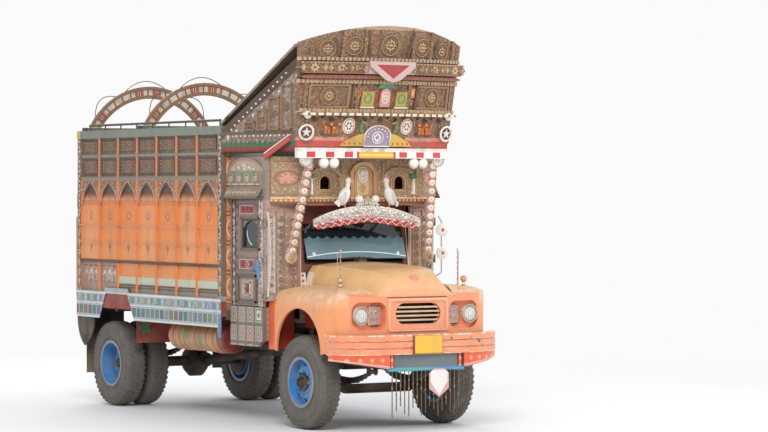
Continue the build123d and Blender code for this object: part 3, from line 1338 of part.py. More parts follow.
def crown_wall(low, high, proud, thickness, grow=0):
    """Part of the leaning, bowed crown front between two heights."""
    faces = []
    for z in (low, high):
        half, side_y, bow = crown_shape(z)
        faces.append(Pos(0, 0, z) * crown_band(half + grow, side_y - proud, bow, thickness))
    return loft(faces, ruled=True)


def crown_arch_cut():
    """Front view of the crown with its arched top."""
    half = crown_top_half + 30
    apex = crown_corner_z + crown_arch_rise
    arc = ThreePointArc((-half, crown_corner_z - 10), (0, apex), (half, crown_corner_z - 10))
    rest = Polyline((half, crown_corner_z - 10), (half, crown_foot_z - 60), (-half, crown_foot_z - 60),
                    (-half, crown_corner_z - 10))
    return along(make_face(arc + rest), crown_foot_y - 700, crown_foot_y + 300)


def make_crown_front():
    """Bowed wall of boards in three tiers with frames, stiles and an arched top."""
    view = crown_arch_cut()
    top = crown_corner_z + crown_arch_rise + 5
    wall = crown_wall(crown_foot_z, top, 0, crown_board) & view
    frames = []
    for low, high, proud in crown_rails:
        frames.append(crown_wall(low, high, proud, proud + 2))
    stiles = []
    for low, high, places in crown_stiles:
        for place in places:
            for sign in (-1, 1):
                band = crown_wall(low, high, 26, 28)
                stiles.append(band & block(sign * place - 22, sign * place + 22, crown_foot_y - 700,
                                           crown_foot_y + 300, low, high))
    whole = fused([wall] + frames + stiles) & view
    save("crown_front", whole)


def make_crown_boards():
    """Carved boards standing proud of the crown, with pointed ends, and the plaque between them."""
    parts = []
    for low, high, proud, grow in crown_shelves:
        board = crown_wall(low, high, proud, proud - seat_gap, grow)
        half = crown_shape(low)[0] + grow
        middle = (low + high) / 2
        trim = outline((-half + 70, low - 1), (-half, middle), (-half + 70, high + 1), (half - 70, high + 1),
                       (half, middle), (half - 70, low - 1))
        parts.append(board & along(trim, crown_foot_y - 800, crown_foot_y + 300))
    low, high, proud, grow = crown_shelves[-1]
    half, side_y, bow = crown_shape(high)
    y = side_y - bow - proud - seat_gap
    plaque = outline((-295, high + 10), (-285, high - 50), (-90, high - 190), (0, high - 215), (90, high - 190),
                     (285, high - 50), (295, high + 10))
    parts.append(along(plaque, y - 22, y))
    save("crown_boards", *parts)


def side_plane():
    """Plane of the left crown side: u runs from the rear to the front, v is height."""
    rear = Vector(crown_rear_half, cab_rear_y, 0)
    front = Vector(crown_foot_half, crown_foot_y + crown_board + 10, 0)
    direction = (front - rear).normalized()
    return Plane(origin=rear, x_dir=direction, z_dir=direction.cross(Vector(0, 0, 1))), (front - rear).length


def make_crown_sides():
    """Tapered side of the crown: a flat board with top and bottom rails and stiles, and the floor between."""
    plane, length = side_plane()
    reach = crown_lean_reach * 0.93
    face = outline((0, crown_foot_z), (length, crown_foot_z), (length + reach, crown_corner_z - 120),
                   (length + reach - 80, crown_corner_z - 120), (0, crown_rear_z - 40))
    slope = (crown_corner_z - 120 - crown_rear_z + 40) / (length + reach - 80)
    board = extrude(plane * face, 24)
    foot_rail = outline((0, crown_foot_z), (length - 22, crown_foot_z), (length - 22, crown_foot_z + 90),
                        (0, crown_foot_z + 90))
    frames = [extrude(plane * foot_rail, 46)]
    for u in crown_side_stiles:
        top = crown_rear_z - 40 + slope * u
        stile = outline((u, crown_foot_z), (u + 45, crown_foot_z), (u + 45, top), (u, top))
        frames.append(extrude(plane * stile, 40))
    band = outline((0, crown_rear_z - 130), (0, crown_rear_z - 40), (length + reach - 80, crown_corner_z - 120),
                   (length + reach - 80, crown_corner_z - 210))
    frames.append(extrude(plane * band, 40))
    side = fused([board] + frames)
    front_y = crown_foot_y + crown_board + seat_gap
    front_half = crown_foot_half - 10
    rear_half = crown_rear_half - 60
    bow = ThreePointArc((front_half, front_y), (0, front_y - crown_foot_bow), (-front_half, front_y))
    rest = Polyline((-front_half, front_y), (-rear_half, cab_rear_y), (rear_half, cab_rear_y),
                    (front_half, front_y))
    floor = upward(make_face(bow + rest), cab_roof_z + cab_roof_thickness + seat_gap, crown_foot_z + 14)
    save("crown_sides", fused([side, mirrored(side), floor]))


def make_crown_roof():
    """Sloping board from the load body up to the crown's front."""
    run_start = body_front_y + 10
    end_y = crown_foot_y - crown_lean_reach + crown_board + 30
    rise = crown_corner_z - 50 - crown_rear_z
    slope = rise / (run_start - end_y)
    face = outline((run_start, crown_rear_z + seat_gap), (end_y, crown_corner_z - 50), (end_y, crown_corner_z - 14),
                   (run_start, crown_rear_z + 36))
    board = across(face, -crown_rear_half, crown_rear_half)
    plan = outline((-crown_rear_half, run_start + 20), (crown_rear_half, run_start + 20),
                   (crown_rear_half, run_start - 20), (crown_top_half + 12, end_y), (-crown_top_half - 12, end_y),
                   (-crown_rear_half, run_start - 20))
    save("crown_roof", board & upward(plan, crown_rear_z - 50, crown_corner_z + 50))


def make_forehead():
    """Panel above the windscreen with a central arch, two small windows, ledges and angled returns."""
    half = cab_front_half_width
    y = forehead_front_y
    low = forehead_low_z
    board = block(-half, half, y, y + 30, low, cab_roof_z - seat_gap)
    for sign in (-1, 1):
        board -= Pos(sign * forehead_window_x, 0, 0) * along(arched_face(62, 2600, 2680, 2742), y - 5, y + 40)
    far_x = cab_half_width - cab_wall
    return_face = outline((half - 1, y), (far_x, y + 186), (far_x, y + 214), (half - 1, y + 30))
    side = upward(return_face, low, cab_roof_z - seat_gap)
    ledges = [block(-half - 25, half + 25, y - 40, y + 1, low + 20, low + 55),
              block(-half, half, y - 22, y + 1, low - 20, low + 22),
              block(-half, half, y + 1, y + 118, low - 20, low + 10),
              block(-screen_half_width, screen_half_width, y + 117, screen_top_y + 5 - seat_gap,
                    low - 20, low + 10)]
    arches = []
    outer = along(arched_face(170, low + 54, 2790, 2905), y - 34, y + 1)
    inner = along(arched_face(128, low + 54, 2785, 2865), y - 40, y - 8)
    arches.append(outer - inner)
    for sign in (-1, 1):
        frame = along(arched_face(210, low + 54, 2760, 2850), y - 20, y + 1)
        frame -= along(arched_face(170, low + 54, 2750, 2815), y - 40, y + 2)
        arches.append(Pos(sign * forehead_window_x, 0, 0) * frame)
    save("forehead", fused([board, side, mirrored(side)] + ledges + arches))


def arched_face(half, low, spring, top):
    """Round-headed opening in (x, z)."""
    head = ThreePointArc((half, spring), (0, top), (-half, spring))
    rest = Polyline((-half, spring), (-half, low), (half, low), (half, spring))
    return make_face(head + rest)


def make_visor():
    """Embossed sheet visor, arched above and scalloped below, on arms from the cab's header."""
    y0 = visor_y
    top = ThreePointArc((visor_half, visor_low_z + 70), (0, visor_top_z), (-visor_half, visor_low_z + 70))
    rest = Polyline((-visor_half, visor_low_z + 70), (-visor_half, visor_low_z),
                    (-visor_half + 60, visor_low_z - 40),
                    (0, visor_low_z + 45), (visor_half - 60, visor_low_z - 40), (visor_half, visor_low_z),
                    (visor_half, visor_low_z + 70))
    sheet = along(make_face(top + rest), y0, y0 + 14)
    arms = [block(x - 15, x + 15, y0 + 13, screen_top_y + 5 - seat_gap, visor_arm_z - 12, visor_arm_z + 12)
            for x in (-420, 0, 420)]
    save("visor", fused([sheet] + arms))


def make_garlands():
    """Strips of round discs that hang from the crown to a scroll beside the windscreen."""
    parts = []
    top = Vector(*garland_top)
    low = Vector(*garland_low)
    step = (low - top) / (garland_discs - 1)
    spine = rod(top, low, 12)
    strip = [spine]
    for number in range(garland_discs):
        centre = top + step * number
        strip.append(rod(centre + Vector(0, -16, 0), centre + Vector(0, 6, 0), garland_disc_radius))
    scroll = low + Vector(10, 0, -75)
    strip.append(rod(scroll + Vector(0, -22, 0), scroll + Vector(0, 12, 0), 66))
    strip.append(rod(top, Vector(top.X, top.Y, crown_foot_z - crown_rail_height - 2 * seat_gap), 12))
    parts += both_sides(fused(strip))
    save("garlands", *parts)


def make_canopies():
    """Lunette board, medallion row and sloping cornice over each door."""
    x = cab_half_width + seat_gap
    front = door_front_y - 20
    rear = cab_rear_y - 4
    middle = (front + rear) / 2
    round_head = ThreePointArc((rear, 2790), (middle, 2945), (front, 2790))
    lunette = make_face(round_head + Line((front, 2790), (rear, 2790)))
    board = across(lunette, x, x + 26)
    row = block(x, x + 40, front, rear, 2640, 2795)
    cornice = across(outline((rear, 2500), (rear, 2645), (front, 2645), (front, 2500)), x, x + 12)
    slope = outline((x, 2640), (x + 95, 2500), (x + 95, 2520), (x + 30, 2645), (x, 2645))
    slope = Pos(0, rear, 0) * extrude(Plane.XZ * slope, rear - front)
    save("door_canopies", *both_sides(fused([board, row, cornice, slope])))


def make_crown_rail():
    """White rail under the crown front with half discs and pairs of round lamps hung from it."""
    half, side_y, bow = crown_shape(crown_foot_z)
    z1 = crown_foot_z - seat_gap
    z0 = z1 - crown_rail_height
    rail = upward(crown_band(half, side_y - 20, bow, 62), z0, z1)
    drops = []
    for sign in (-1, 1):
        face = make_face(ThreePointArc((-80, 0), (0, -95), (80, 0)) + Line((80, 0), (-80, 0)))
        place = sign * half_disc_x
        y = crown_front_at(place, crown_foot_z)
        drops.append(Pos(place, 0, z0 + 1) * along(face, y + 5, y + 17))
        for x in (lamp_pair_x - 62, lamp_pair_x + 62):
            y = crown_front_at(x, crown_foot_z)
            ball = Pos(sign * x, y + 14, z0 - 52) * Sphere(56)
            drops.append(ball)
            drops.append(rod((sign * x, y + 14, z0 - 20), (sign * x, y + 14, z0 + 1), 12))
    save("crown_lamps", fused([rail] + drops))


def crown_front_at(x, z):
    """Place of the crown's bowed face at a distance from the middle."""
    half, side_y, bow = crown_shape(z)
    radius = (half ** 2 + bow ** 2) / (2 * bow)
    return side_y - bow + radius - math.sqrt(radius ** 2 - x ** 2)


def main():
    os.makedirs("parts", exist_ok=True)
    make_chassis()
    make_front_axle()
    make_knuckle("knuckle_right", -1)
    make_knuckle("knuckle_left", 1)
    make_tie_rod()
    make_rear_axle()
    make_drive_line()
    make_tanks()
    make_wheels()
    make_bed_floor()
    make_side_walls()
    make_end_boards()
    make_tailgate()
    make_hoops()
    make_body_skirts()
    make_rear_guards()
    make_cab_shell()
    make_windscreen()
    for word, side in (("right", -1), ("left", 1)):
        make_door(word, side)
    make_cab_inside()
    make_front_end()
    make_bonnet()
    make_lamps()
    make_bumper()
    make_fringes()
    make_crown_front()
    make_crown_boards()
    make_crown_sides()
    make_crown_roof()
    make_crown_rail()
    make_forehead()
    make_visor()
    make_garlands()
    make_canopies()


main()
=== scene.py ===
"""Looks of a decorated cargo truck: painted and carved timber, pressed metal, lamps, chains and tyres."""
from math import atan2, copysign, cos, pi, radians, sin, sqrt

import bpy
import bmesh
from mathutils import Matrix, Vector


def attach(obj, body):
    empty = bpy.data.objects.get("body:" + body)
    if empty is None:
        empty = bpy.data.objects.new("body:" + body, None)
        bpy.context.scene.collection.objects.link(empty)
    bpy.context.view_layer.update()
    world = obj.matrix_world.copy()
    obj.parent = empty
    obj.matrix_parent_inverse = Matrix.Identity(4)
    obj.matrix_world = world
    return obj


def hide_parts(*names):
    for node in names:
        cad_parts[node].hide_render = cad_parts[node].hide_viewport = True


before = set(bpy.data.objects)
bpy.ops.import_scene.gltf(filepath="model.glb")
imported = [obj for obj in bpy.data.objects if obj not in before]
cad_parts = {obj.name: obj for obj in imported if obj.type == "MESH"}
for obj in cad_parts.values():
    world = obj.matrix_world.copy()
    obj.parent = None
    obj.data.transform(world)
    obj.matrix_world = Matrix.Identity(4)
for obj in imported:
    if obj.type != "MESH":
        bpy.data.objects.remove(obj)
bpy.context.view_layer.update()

front_axle = -2.0125
rear_axle = 2.2295
tyre_r = 0.509
sides = (("right", -1), ("left", 1))
both = (-1, 1)
bay_pitch = 0.5
first_rib = -0.5775
bay_middles = [first_rib + bay_pitch * (number + 0.5) for number in range(7)]
rib_places = [first_rib + bay_pitch * number for number in range(8)]
post_middles = (-0.625, 2.97)
beam_low = 3.214
hoop_x = -0.29
hoop_z = 2.928
door_middle = -1.065
canopy_middle = -1.055
canopy_row_z = 2.716
door_plaque_z = 2.375
door_lower_z = 1.77
door_box_z = 1.5
door_rear_y = -0.765
door_front_y = -1.375
lattice_z = 1.585
rail_low = 2.94
crown_foot = 3.01
cab_corner = -1.5825
steel_grey = "3B3531"
dark_red = "8E2A24"
full_white = (1.0, 1.0, 1.0, 1.0)
backdrop = 0.96


def tone(code):
    """Linear colour of a six-digit screen colour; a colour that comes from a node stays as it is."""
    if not isinstance(code, str):
        return code
    out = []
    for start in (0, 2, 4):
        value = int(code[start:start + 2], 16) / 255
        out.append(value / 12.92 if value <= 0.04045 else ((value + 0.055) / 1.055) ** 2.4)
    return (*out, 1.0)


class Value:
    """A number in a material that takes part in sums."""

    def __init__(self, paint, socket):
        self.paint = paint
        self.socket = socket

    def calc(self, word, *others):
        return self.paint.calc(word, self, *others)

    def __add__(self, other):
        return self.calc("ADD", other)

    __radd__ = __add__

    def __sub__(self, other):
        return self.calc("SUBTRACT", other)

    def __rsub__(self, other):
        return self.paint.calc("SUBTRACT", other, self)

    def __mul__(self, other):
        return self.calc("MULTIPLY", other)

    __rmul__ = __mul__

    def __truediv__(self, other):
        return self.calc("DIVIDE", other)

    def __gt__(self, other):
        return self.calc("GREATER_THAN", other)

    def __lt__(self, other):
        return self.calc("LESS_THAN", other)

    def __abs__(self):
        return self.calc("ABSOLUTE")

    def wave(self):
        return self.calc("SINE")

    def whole(self):
        return self.calc("FLOOR")

    def part(self):
        return self.calc("FRACT")

    def root(self):
        return self.calc("SQRT")

    def least(self, other):
        return self.calc("MINIMUM", other)

    def most(self, other):
        return self.calc("MAXIMUM", other)

    def clip(self):
        return self.calc("MAXIMUM", 0.0).calc("MINIMUM", 1.0)

    def between(self, low, high):
        return (self > low) * (self < high)

    def rise(self, low, high):
        return ((self - low) / (high - low)).clip()


def feed(socket, value):
    """Sets a socket to a value, or links it to a value from another node."""
    if isinstance(value, Value):
        value = value.socket
    if isinstance(value, bpy.types.NodeSocket):
        socket.id_data.links.new(value, socket)
    else:
        socket.default_value = value


def add_node(tree, kind, settings=None, values=None):
    """Adds a node: its settings first, then its sockets, by name or by number."""
    node = tree.nodes.new(kind)
    for key, setting in (settings or {}).items():
        setattr(node, key, setting)
    for key, value in (values or {}).items():
        feed(node.inputs[key], value)
    return node


class Paint:
    """A material being mixed: where a point lies, patterns, colours and relief."""

    def __init__(self, name):
        self.material = bpy.data.materials.new(name)
        self.material.use_nodes = True
        self.material.node_tree.nodes.clear()
        self.out = self.node("ShaderNodeOutputMaterial")
        self.base = self.node("ShaderNodeBsdfPrincipled")
        feed(self.out.inputs[0], self.base.outputs[0])
        place = self.node("ShaderNodeTexCoord").outputs
        self.point = place["Object"]
        self.x, self.y, self.z = self.parts(self.point)
        self.nx, self.ny, self.nz = self.parts(place["Normal"])
        self.side = abs(self.x)

    def node(self, kind, settings=None, values=None):
        return add_node(self.material.node_tree, kind, settings, values)

    def parts(self, vector):
        split = self.node("ShaderNodeSeparateXYZ", None, {0: vector})
        return [Value(self, socket) for socket in split.outputs]

    def calc(self, word, *terms):
        node = self.node("ShaderNodeMath", {"operation": word}, dict(enumerate(terms)))
        return Value(self, node.outputs[0])

    def mix(self, mask, under, over):
        """Colour over laid on colour under where mask is 1."""
        colours = {0: mask, 6: tone(under), 7: tone(over)}
        return self.node("ShaderNodeMix", {"data_type": "RGBA"}, colours).outputs[2]

    def layers(self, under, *pairs):
        """Lays one colour after another, each where its mask is 1."""
        for mask, over in pairs:
            under = self.mix(mask, under, over)
        return under

    def lay(self, *pairs):
        """Lays more colours over the one that is there."""
        self.colour = self.layers(self.colour, *pairs)

    def within(self, place, *pairs):
        """Lays colours inside one place only."""
        self.lay(*((place * mask, over) for mask, over in pairs))

    def band(self, low, high):
        """Where the height lies between two levels."""
        return self.z.between(low, high)

    def noise(self, scale, detail=3.0, stretch=(1, 1, 1)):
        """Cloudy pattern, drawn out along an axis where its stretch is small."""
        point = self.point
        if stretch != (1, 1, 1):
            drawn_out = self.node("ShaderNodeVectorMath", {"operation": "MULTIPLY"},
                    {0: point, 1: stretch})
            point = drawn_out.outputs[0]
        values = {"Vector": point, "Scale": scale, "Detail": detail}
        return Value(self, self.node("ShaderNodeTexNoise", None, values).outputs[0])

    def spots(self, scale):
        values = {"Vector": self.point, "Scale": scale}
        return Value(self, self.node("ShaderNodeTexVoronoi", None, values).outputs[0])

    def numbered(self, value, start, pitch):
        """Distance from the middle of the repeat that value lies in, and that repeat's number."""
        share = (value - start) / pitch
        return (share.part() - 0.5) * pitch, share.whole()

    def repeat(self, value, start, pitch):
        return self.numbered(value, start, pitch)[0]

    def disc(self, u, v, radius):
        return self.length(u, v) < radius

    def length(self, u, v):
        return (u * u + v * v).root()

    def ring(self, u, v, small, large):
        return self.length(u, v).between(small, large)

    def rosette(self, u, v, radius, petals):
        turn = self.calc("ARCTAN2", v, u)
        edge = (turn * petals).calc("COSINE") * (radius * 0.24) + radius * 0.76
        return self.length(u, v) < edge

    def diamond(self, u, v, wide, tall):
        return (abs(u) / wide + abs(v) / tall) < 1.0

    def panel(self, u, v, wide, tall):
        return (abs(u) < wide) * (abs(v) < tall)

    def frame_line(self, u, v, wide, tall, line):
        return self.panel(u, v, wide, tall) - self.panel(u, v, wide - line, tall - line)

    def vine(self, u, v, pitch, swing, line):
        """Wavy stem with a round leaf in each bend, running along u."""
        path = (u * (2 * pi / pitch)).wave() * swing
        stem = abs(v - path) < line
        du, number = self.numbered(u, 0.0, pitch / 2)
        flip = (number * pi).calc("COSINE")
        leaf = self.disc(du, v + flip * swing * 0.2, swing * 0.62)
        return stem.most(leaf).clip()

    def grime(self, colour, strength, dust):
        """Road dust low down, dark stains in streaks and a fine speckle."""
        streak = self.noise(9.0, 4.0, (1.0, 1.0, 0.22)).rise(0.52, 0.78)
        fine = self.noise(60.0, 2.0).rise(0.45, 0.8)
        lower = (1 - self.z.rise(0.2, 2.2)) * 0.45 + 0.08
        cloud = self.noise(3.2, 4.0).rise(0.35, 0.7)
        colour = self.mix(streak * (0.38 * strength), colour, "3A2B22")
        colour = self.mix(fine * (0.22 * strength), colour, "5A4636")
        return self.mix(lower * cloud * strength, colour, dust)

    def worn(self, wear, rough, relief, depth, coat=0.0, metal=0.0, dust="B9A48C"):
        """Ages the colour that was laid and closes the material."""
        return self.done(self.grime(self.colour, wear, dust), rough, metal, relief, depth, coat)

    def done(self, colour, rough, metal=0.0, relief=None, depth=0.004, coat=0.0):
        """Feeds the surface and returns the material; depth is the relief's height in metres."""
        for key, value in (("Base Color", tone(colour)), ("Roughness", rough), ("Metallic", metal),
                           ("Coat Weight", coat)):
            feed(self.base.inputs[key], value)
        if relief is not None:
            bump = self.node("ShaderNodeBump", None,
                    {"Strength": 0.9, "Distance": depth, "Height": relief})
            feed(self.base.inputs["Normal"], bump.outputs[0])
        return self.material


def plain(name, code, rough=0.5, metal=0.0, wear=0.5, coat=0.0, depth=0.0015):
    """Even paint or metal with dust, stains and a fine grain."""
    paint = Paint(name)
    grain = paint.noise(45.0, 4.0)
    paint.colour = paint.mix(paint.noise(4.0, 3.0).rise(0.3, 0.75) * 0.35, code, "8A6F58")
    return paint.worn(wear, grain * 0.25 + (rough - 0.1), grain, depth, coat, metal)


# Load body

def wall_paint():
    """Orange ribs and panels, brown arched spandrels, two brown rows above and patterned end posts."""
    p = Paint("Painted wall")
    t, number = p.numbered(p.y, first_rib, bay_pitch)
    rib = abs(t) > 0.222
    alternate = (number * 2.4).wave()
    p.colour = p.mix(p.z.rise(1.7, 2.5), "EE9A5C", "E9823B")
    p.lay((alternate.rise(0.2, 0.6) * 0.35, "F3AE7C"))
    scrawl = p.noise(34.0, 4.0)
    flower_z = 2.285
    sprig = p.diamond(t, p.z - 1.90, 0.016, 0.085) + p.diamond(abs(t) - 0.026, p.z - 1.915, 0.012, 0.035)
    motif = (sprig + p.rosette(t, p.z - flower_z, 0.062, 6) * (scrawl > 0.42)).clip()
    p.lay((motif * 0.62, "7A5A40"), (p.disc(t, p.z - flower_z, 0.018), "D9B7B0"),
          (p.rosette(t, p.z - 2.33, 0.03, 5) * 0.5, "C98A8A"))
    low = p.z < 1.72
    rear_bays = low * (number > 4.5)
    lattice = p.rosette(t, p.z - lattice_z, 0.075, 6) + p.rosette(abs(t) - 0.13, p.z - lattice_z, 0.05, 5)
    p.lay((low, "E88F4E"), (p.band(1.475, 1.565), "C7CBB4"), (p.band(1.375, 1.475), "8B8177"),
          (p.band(1.425, 1.445), "5C5049"), (rear_bays, "A9857A"),
          (rear_bays * lattice.clip() * p.band(1.49, 1.70), "E2D5C9"),
          (rear_bays * p.frame_line(t, p.z - lattice_z, 0.2, 0.10, 0.014), "6E4740"))
    upper = p.z > 2.735
    p.lay((upper, p.mix(p.noise(20.0, 4.0).rise(0.4, 0.6), "7C6452", "6C6355")))
    row = p.repeat(p.z, 2.75, 0.235)
    flower = p.ring(t, row, 0.055, 0.075) + p.rosette(t, row, 0.05, 6)
    p.within(upper, (p.frame_line(t, row, 0.2, 0.1, 0.012), "4E3D33"), (flower.clip(), "94806A"),
            (p.disc(t, row, 0.018), "7C3F36"))
    spandrel = p.band(2.41, 2.71) * (p.side > 1.196)
    scroll = p.spots(26.0) < 0.36
    p.lay((spandrel, "85604A"), (spandrel * scroll, "C09A80"),
          (spandrel * (p.spots(50.0) < 0.2), "DCC8B6"))
    # Recess inside each arch: orange below, darkening to brown towards the top as painted shade under the
    # arch.
    niche = p.band(2.41, 2.71) * p.side.between(1.18, 1.196)
    p.lay((niche, p.mix(p.z.rise(2.49, 2.55), "DE8240", "5A3A2A")))
    p.lay((rib * (p.side > 1.2), p.mix(upper, "EC7F38", "D27F5B")))
    rails = (p.band(2.705, 2.755) + p.band(2.984, 3.016)).clip() * (p.side > 1.19)
    p.lay((rails, "8E8576"), (p.band(1.72, 1.76) * (p.side > 1.19), "6A5142"))
    beam = p.z > beam_low
    cap = p.y > 2.93
    p.lay((beam, "7F857A"), (beam * cap, "C9B23E"))
    post = (p.y < first_rib).most(p.y > 2.9225) * (p.z < beam_low)
    across = p.y - (p.y > 1.0) * (post_middles[1] - post_middles[0]) - post_middles[0]
    vine = p.vine(p.z, across, 0.24, 0.026, 0.007)
    edge = abs(across) > 0.038
    bits = p.spots(55.0) < 0.22
    p.lay((post, "574439"))
    p.within(post, (bits, "C4B3A2"), (vine, "D9D2C6"), (edge, "7C6250"), (p.z < 1.40, "8FA3AA"))
    sill = p.z < 1.345
    inner = p.side < 1.15
    p.lay((sill, dark_red), (inner, "6F5443"))
    relief = (p.noise(30.0, 4.0) * 0.25 + motif * 0.4 + flower.clip() * upper * 0.5 + spandrel * scroll
            * 0.6 + vine * post * 0.4)
    rough = p.noise(12.0).rise(0.3, 0.8) * 0.25 + 0.42
    return p.worn(0.75, rough, relief, 0.006)


def board_paint(name, field, frame_colour, depth_at, across, upward):
    """Framed panels on the end boards and tailgate; depth_at tells frame from field along the length."""
    p = Paint(name)
    t = p.repeat(p.x, *across)
    row = p.repeat(p.z, *upward)
    flower = p.rosette(t, row, 0.11, 8)
    line = p.frame_line(t, row, 0.155, 0.15, 0.014)
    outer = p.y > depth_at
    p.colour = p.layers(field, (line, "7A3B2C"), (flower, "C75B3C"), (p.disc(t, row, 0.04), "E9C95A"),
            (p.ring(t, row, 0.118, 0.128), "EFE3D0"))
    vine = p.vine(p.x, row, 0.3, 0.014, 0.004)
    p.lay((outer, frame_colour), (outer * vine, "EADBC2"))
    relief = flower * 0.6 + line * 0.4 + p.noise(30.0, 4.0) * 0.25
    return p.worn(0.8, 0.55, relief, 0.005)


def skirt_paint():
    """Pale blue sheet: long tiles with bolts over a row of small tiles; dark inside, red over the wheel."""
    p = Paint("Painted skirt")
    tile_z = 1.150
    long_z = 1.292
    t, number = p.numbered(p.y, -0.60, 0.118)
    hue = (number * 1.9).wave()
    tile = p.panel(t, p.z - tile_z, 0.054, 0.058)
    tiles = p.layers("55796A", (hue > -0.6, "5F7590"), (hue > -0.15, "8E8C86"), (hue > 0.15, "8C5650"),
            (hue > 0.5, "B79E5E"), (hue > 0.62, "4E6A86"), (hue > 0.9, "66857A"))
    long_t, long_n = p.numbered(p.y, -0.60, 0.336)
    long_hue = (long_n * 2.7).wave()
    long_tile = p.panel(long_t, p.z - long_z, 0.135, 0.038)
    long_codes = p.layers("6E8A80", (long_hue > -0.3, "6C84A6"), (long_hue > 0.4, "8B948F"))
    lace = (abs(p.z - 1.355) < 0.012) + (abs(p.z - 1.232) < 0.008) + (abs(p.z - 1.066) < 0.010)
    bolt = p.disc(long_t - 0.165, p.z - long_z, 0.014)
    drop = p.ring(long_t, p.z - long_z, 0.018, 0.028)
    p.colour = p.layers("A9B6BA", (long_tile, long_codes), (long_tile * drop, "D5D9D6"), (tile, tiles),
            (lace.clip(), "DFE3E0"), (bolt, "E6E3DA"),
            (p.frame_line(t, p.z - tile_z, 0.054, 0.058, 0.005), "C9CFCC"))
    slant = abs((p.y + p.z * 0.55) * 3).part()
    p.lay(((slant < 0.05) * long_tile, "C3CBC9"), ((p.y < -0.61) * (p.z < 1.2), "4E86B4"))
    inner = p.side < 1.2145
    over_wheel = p.y.between(1.55, 2.32) * (p.z > 1.2)
    p.lay((inner, "5A5048"), (inner * over_wheel, dark_red))
    relief = tile * 0.6 + lace * 0.5 + drop * 0.5 + p.noise(40.0, 3.0) * 0.2
    return p.worn(0.7, 0.45, relief, 0.004)


def hoop_paint():
    """Hoops with a pale weathered web between brown rims, crossed by thin dark rungs."""
    p = Paint("Painted hoop")
    u = p.x - hoop_x
    turn = p.calc("ARCTAN2", p.z - hoop_z, u)
    radius = p.length(u, p.z - hoop_z)
    rung_t, rung_n = p.numbered(turn, 0.0, 0.14)
    rung = abs(rung_t) < 0.010
    patch = (rung_n * 2.7).wave() > 0.72
    arch = p.z > 3.36
    worn = p.noise(14.0, 5.0).rise(0.45, 0.62)
    web = p.mix(worn * 0.7, "D3CABB", "A39481")
    web = p.layers(web, (patch * (abs(rung_t).between(0.02, 0.07)), "A4574B"), (rung, "5F4636"))
    rim = (radius > 0.899) + (radius < 0.834)
    p.colour = p.layers("CDB98F", (arch, web), (arch * rim.clip(), "8A6A4F"))
    p.lay((p.z < 3.352, "6E6A60"))
    rail = p.side > 1.16
    p.lay((rail, "4A443E"))
    return p.worn(0.6, 0.6, worn * -0.5 + p.noise(35.0, 4.0) - rung * 0.5, 0.004)


def floor_paint():
    """Worn floor planks over dark bearers."""
    p = Paint("Worn timber")
    t, number = p.numbered(p.x, -1.14, 0.12)
    seam = abs(t) > 0.057
    grain = p.noise(26.0, 5.0, (6.0, 0.5, 6.0))
    shade = (number * 3.7).wave() * 0.25 + 0.4
    p.colour = p.mix(shade.clip(), "7B6048", "9A7C5E")
    p.lay((grain.rise(0.4, 0.7) * 0.5, "4E3A2B"), (seam * (p.z > 1.29), "2A201A"), (p.z < 1.25, "4C3D32"))
    return p.worn(0.8, 0.75, grain - seam * 0.8, 0.004)


# Crown and forehead

def crown_paint():
    """Carved brown boards in three tiers, parted by beaded rails, over a red and pink strip."""
    p = Paint("Carved crown")
    carve = p.spots(34.0)
    swirl = p.noise(38.0, 5.0)
    p.colour = p.mix(carve.rise(0.2, 0.55), "A58468", "75563F")
    low = p.z < 3.44
    p.lay((low, "8B6A52"), (low * (carve < 0.3), "B7977A"), (p.band(3.0, 3.05), "E9E3DA"),
          (p.band(3.05, 3.13), "C4504A"), (p.band(3.13, 3.17), "D78E7E"))
    pink_end = p.band(3.05, 3.17) * (p.side < 0.36)
    p.lay((pink_end, "6B4A3A"))
    tint = p.noise(5.0, 3.0)
    p.lay((tint.rise(0.53, 0.66) * 0.45, "8F5340"), ((1 - tint.rise(0.34, 0.46)) * 0.4, "75744E"))
    boards = p.repeat(p.x, -1.06, 0.155)
    joint = (abs(boards) > 0.0745) * (p.z > 3.18)
    p.lay((joint, "5E4636"))
    rails = (p.band(3.43, 3.475) + p.band(3.745, 3.79) + p.band(3.99, 4.03)).clip()
    bead_t = p.repeat(p.x, 0.0, 0.05)
    bead = rails * (abs(bead_t) < 0.016)
    p.lay((rails, "7E6350"), (bead, "C7AE92"), (p.z > 4.33, "B39372"))
    back = p.ny > 0.5
    p.lay((back, "6B5140"))
    relief = carve * -0.7 + swirl * 0.4 + bead * 0.5 - joint * 0.4
    return p.worn(0.6, 0.62, relief, 0.012)


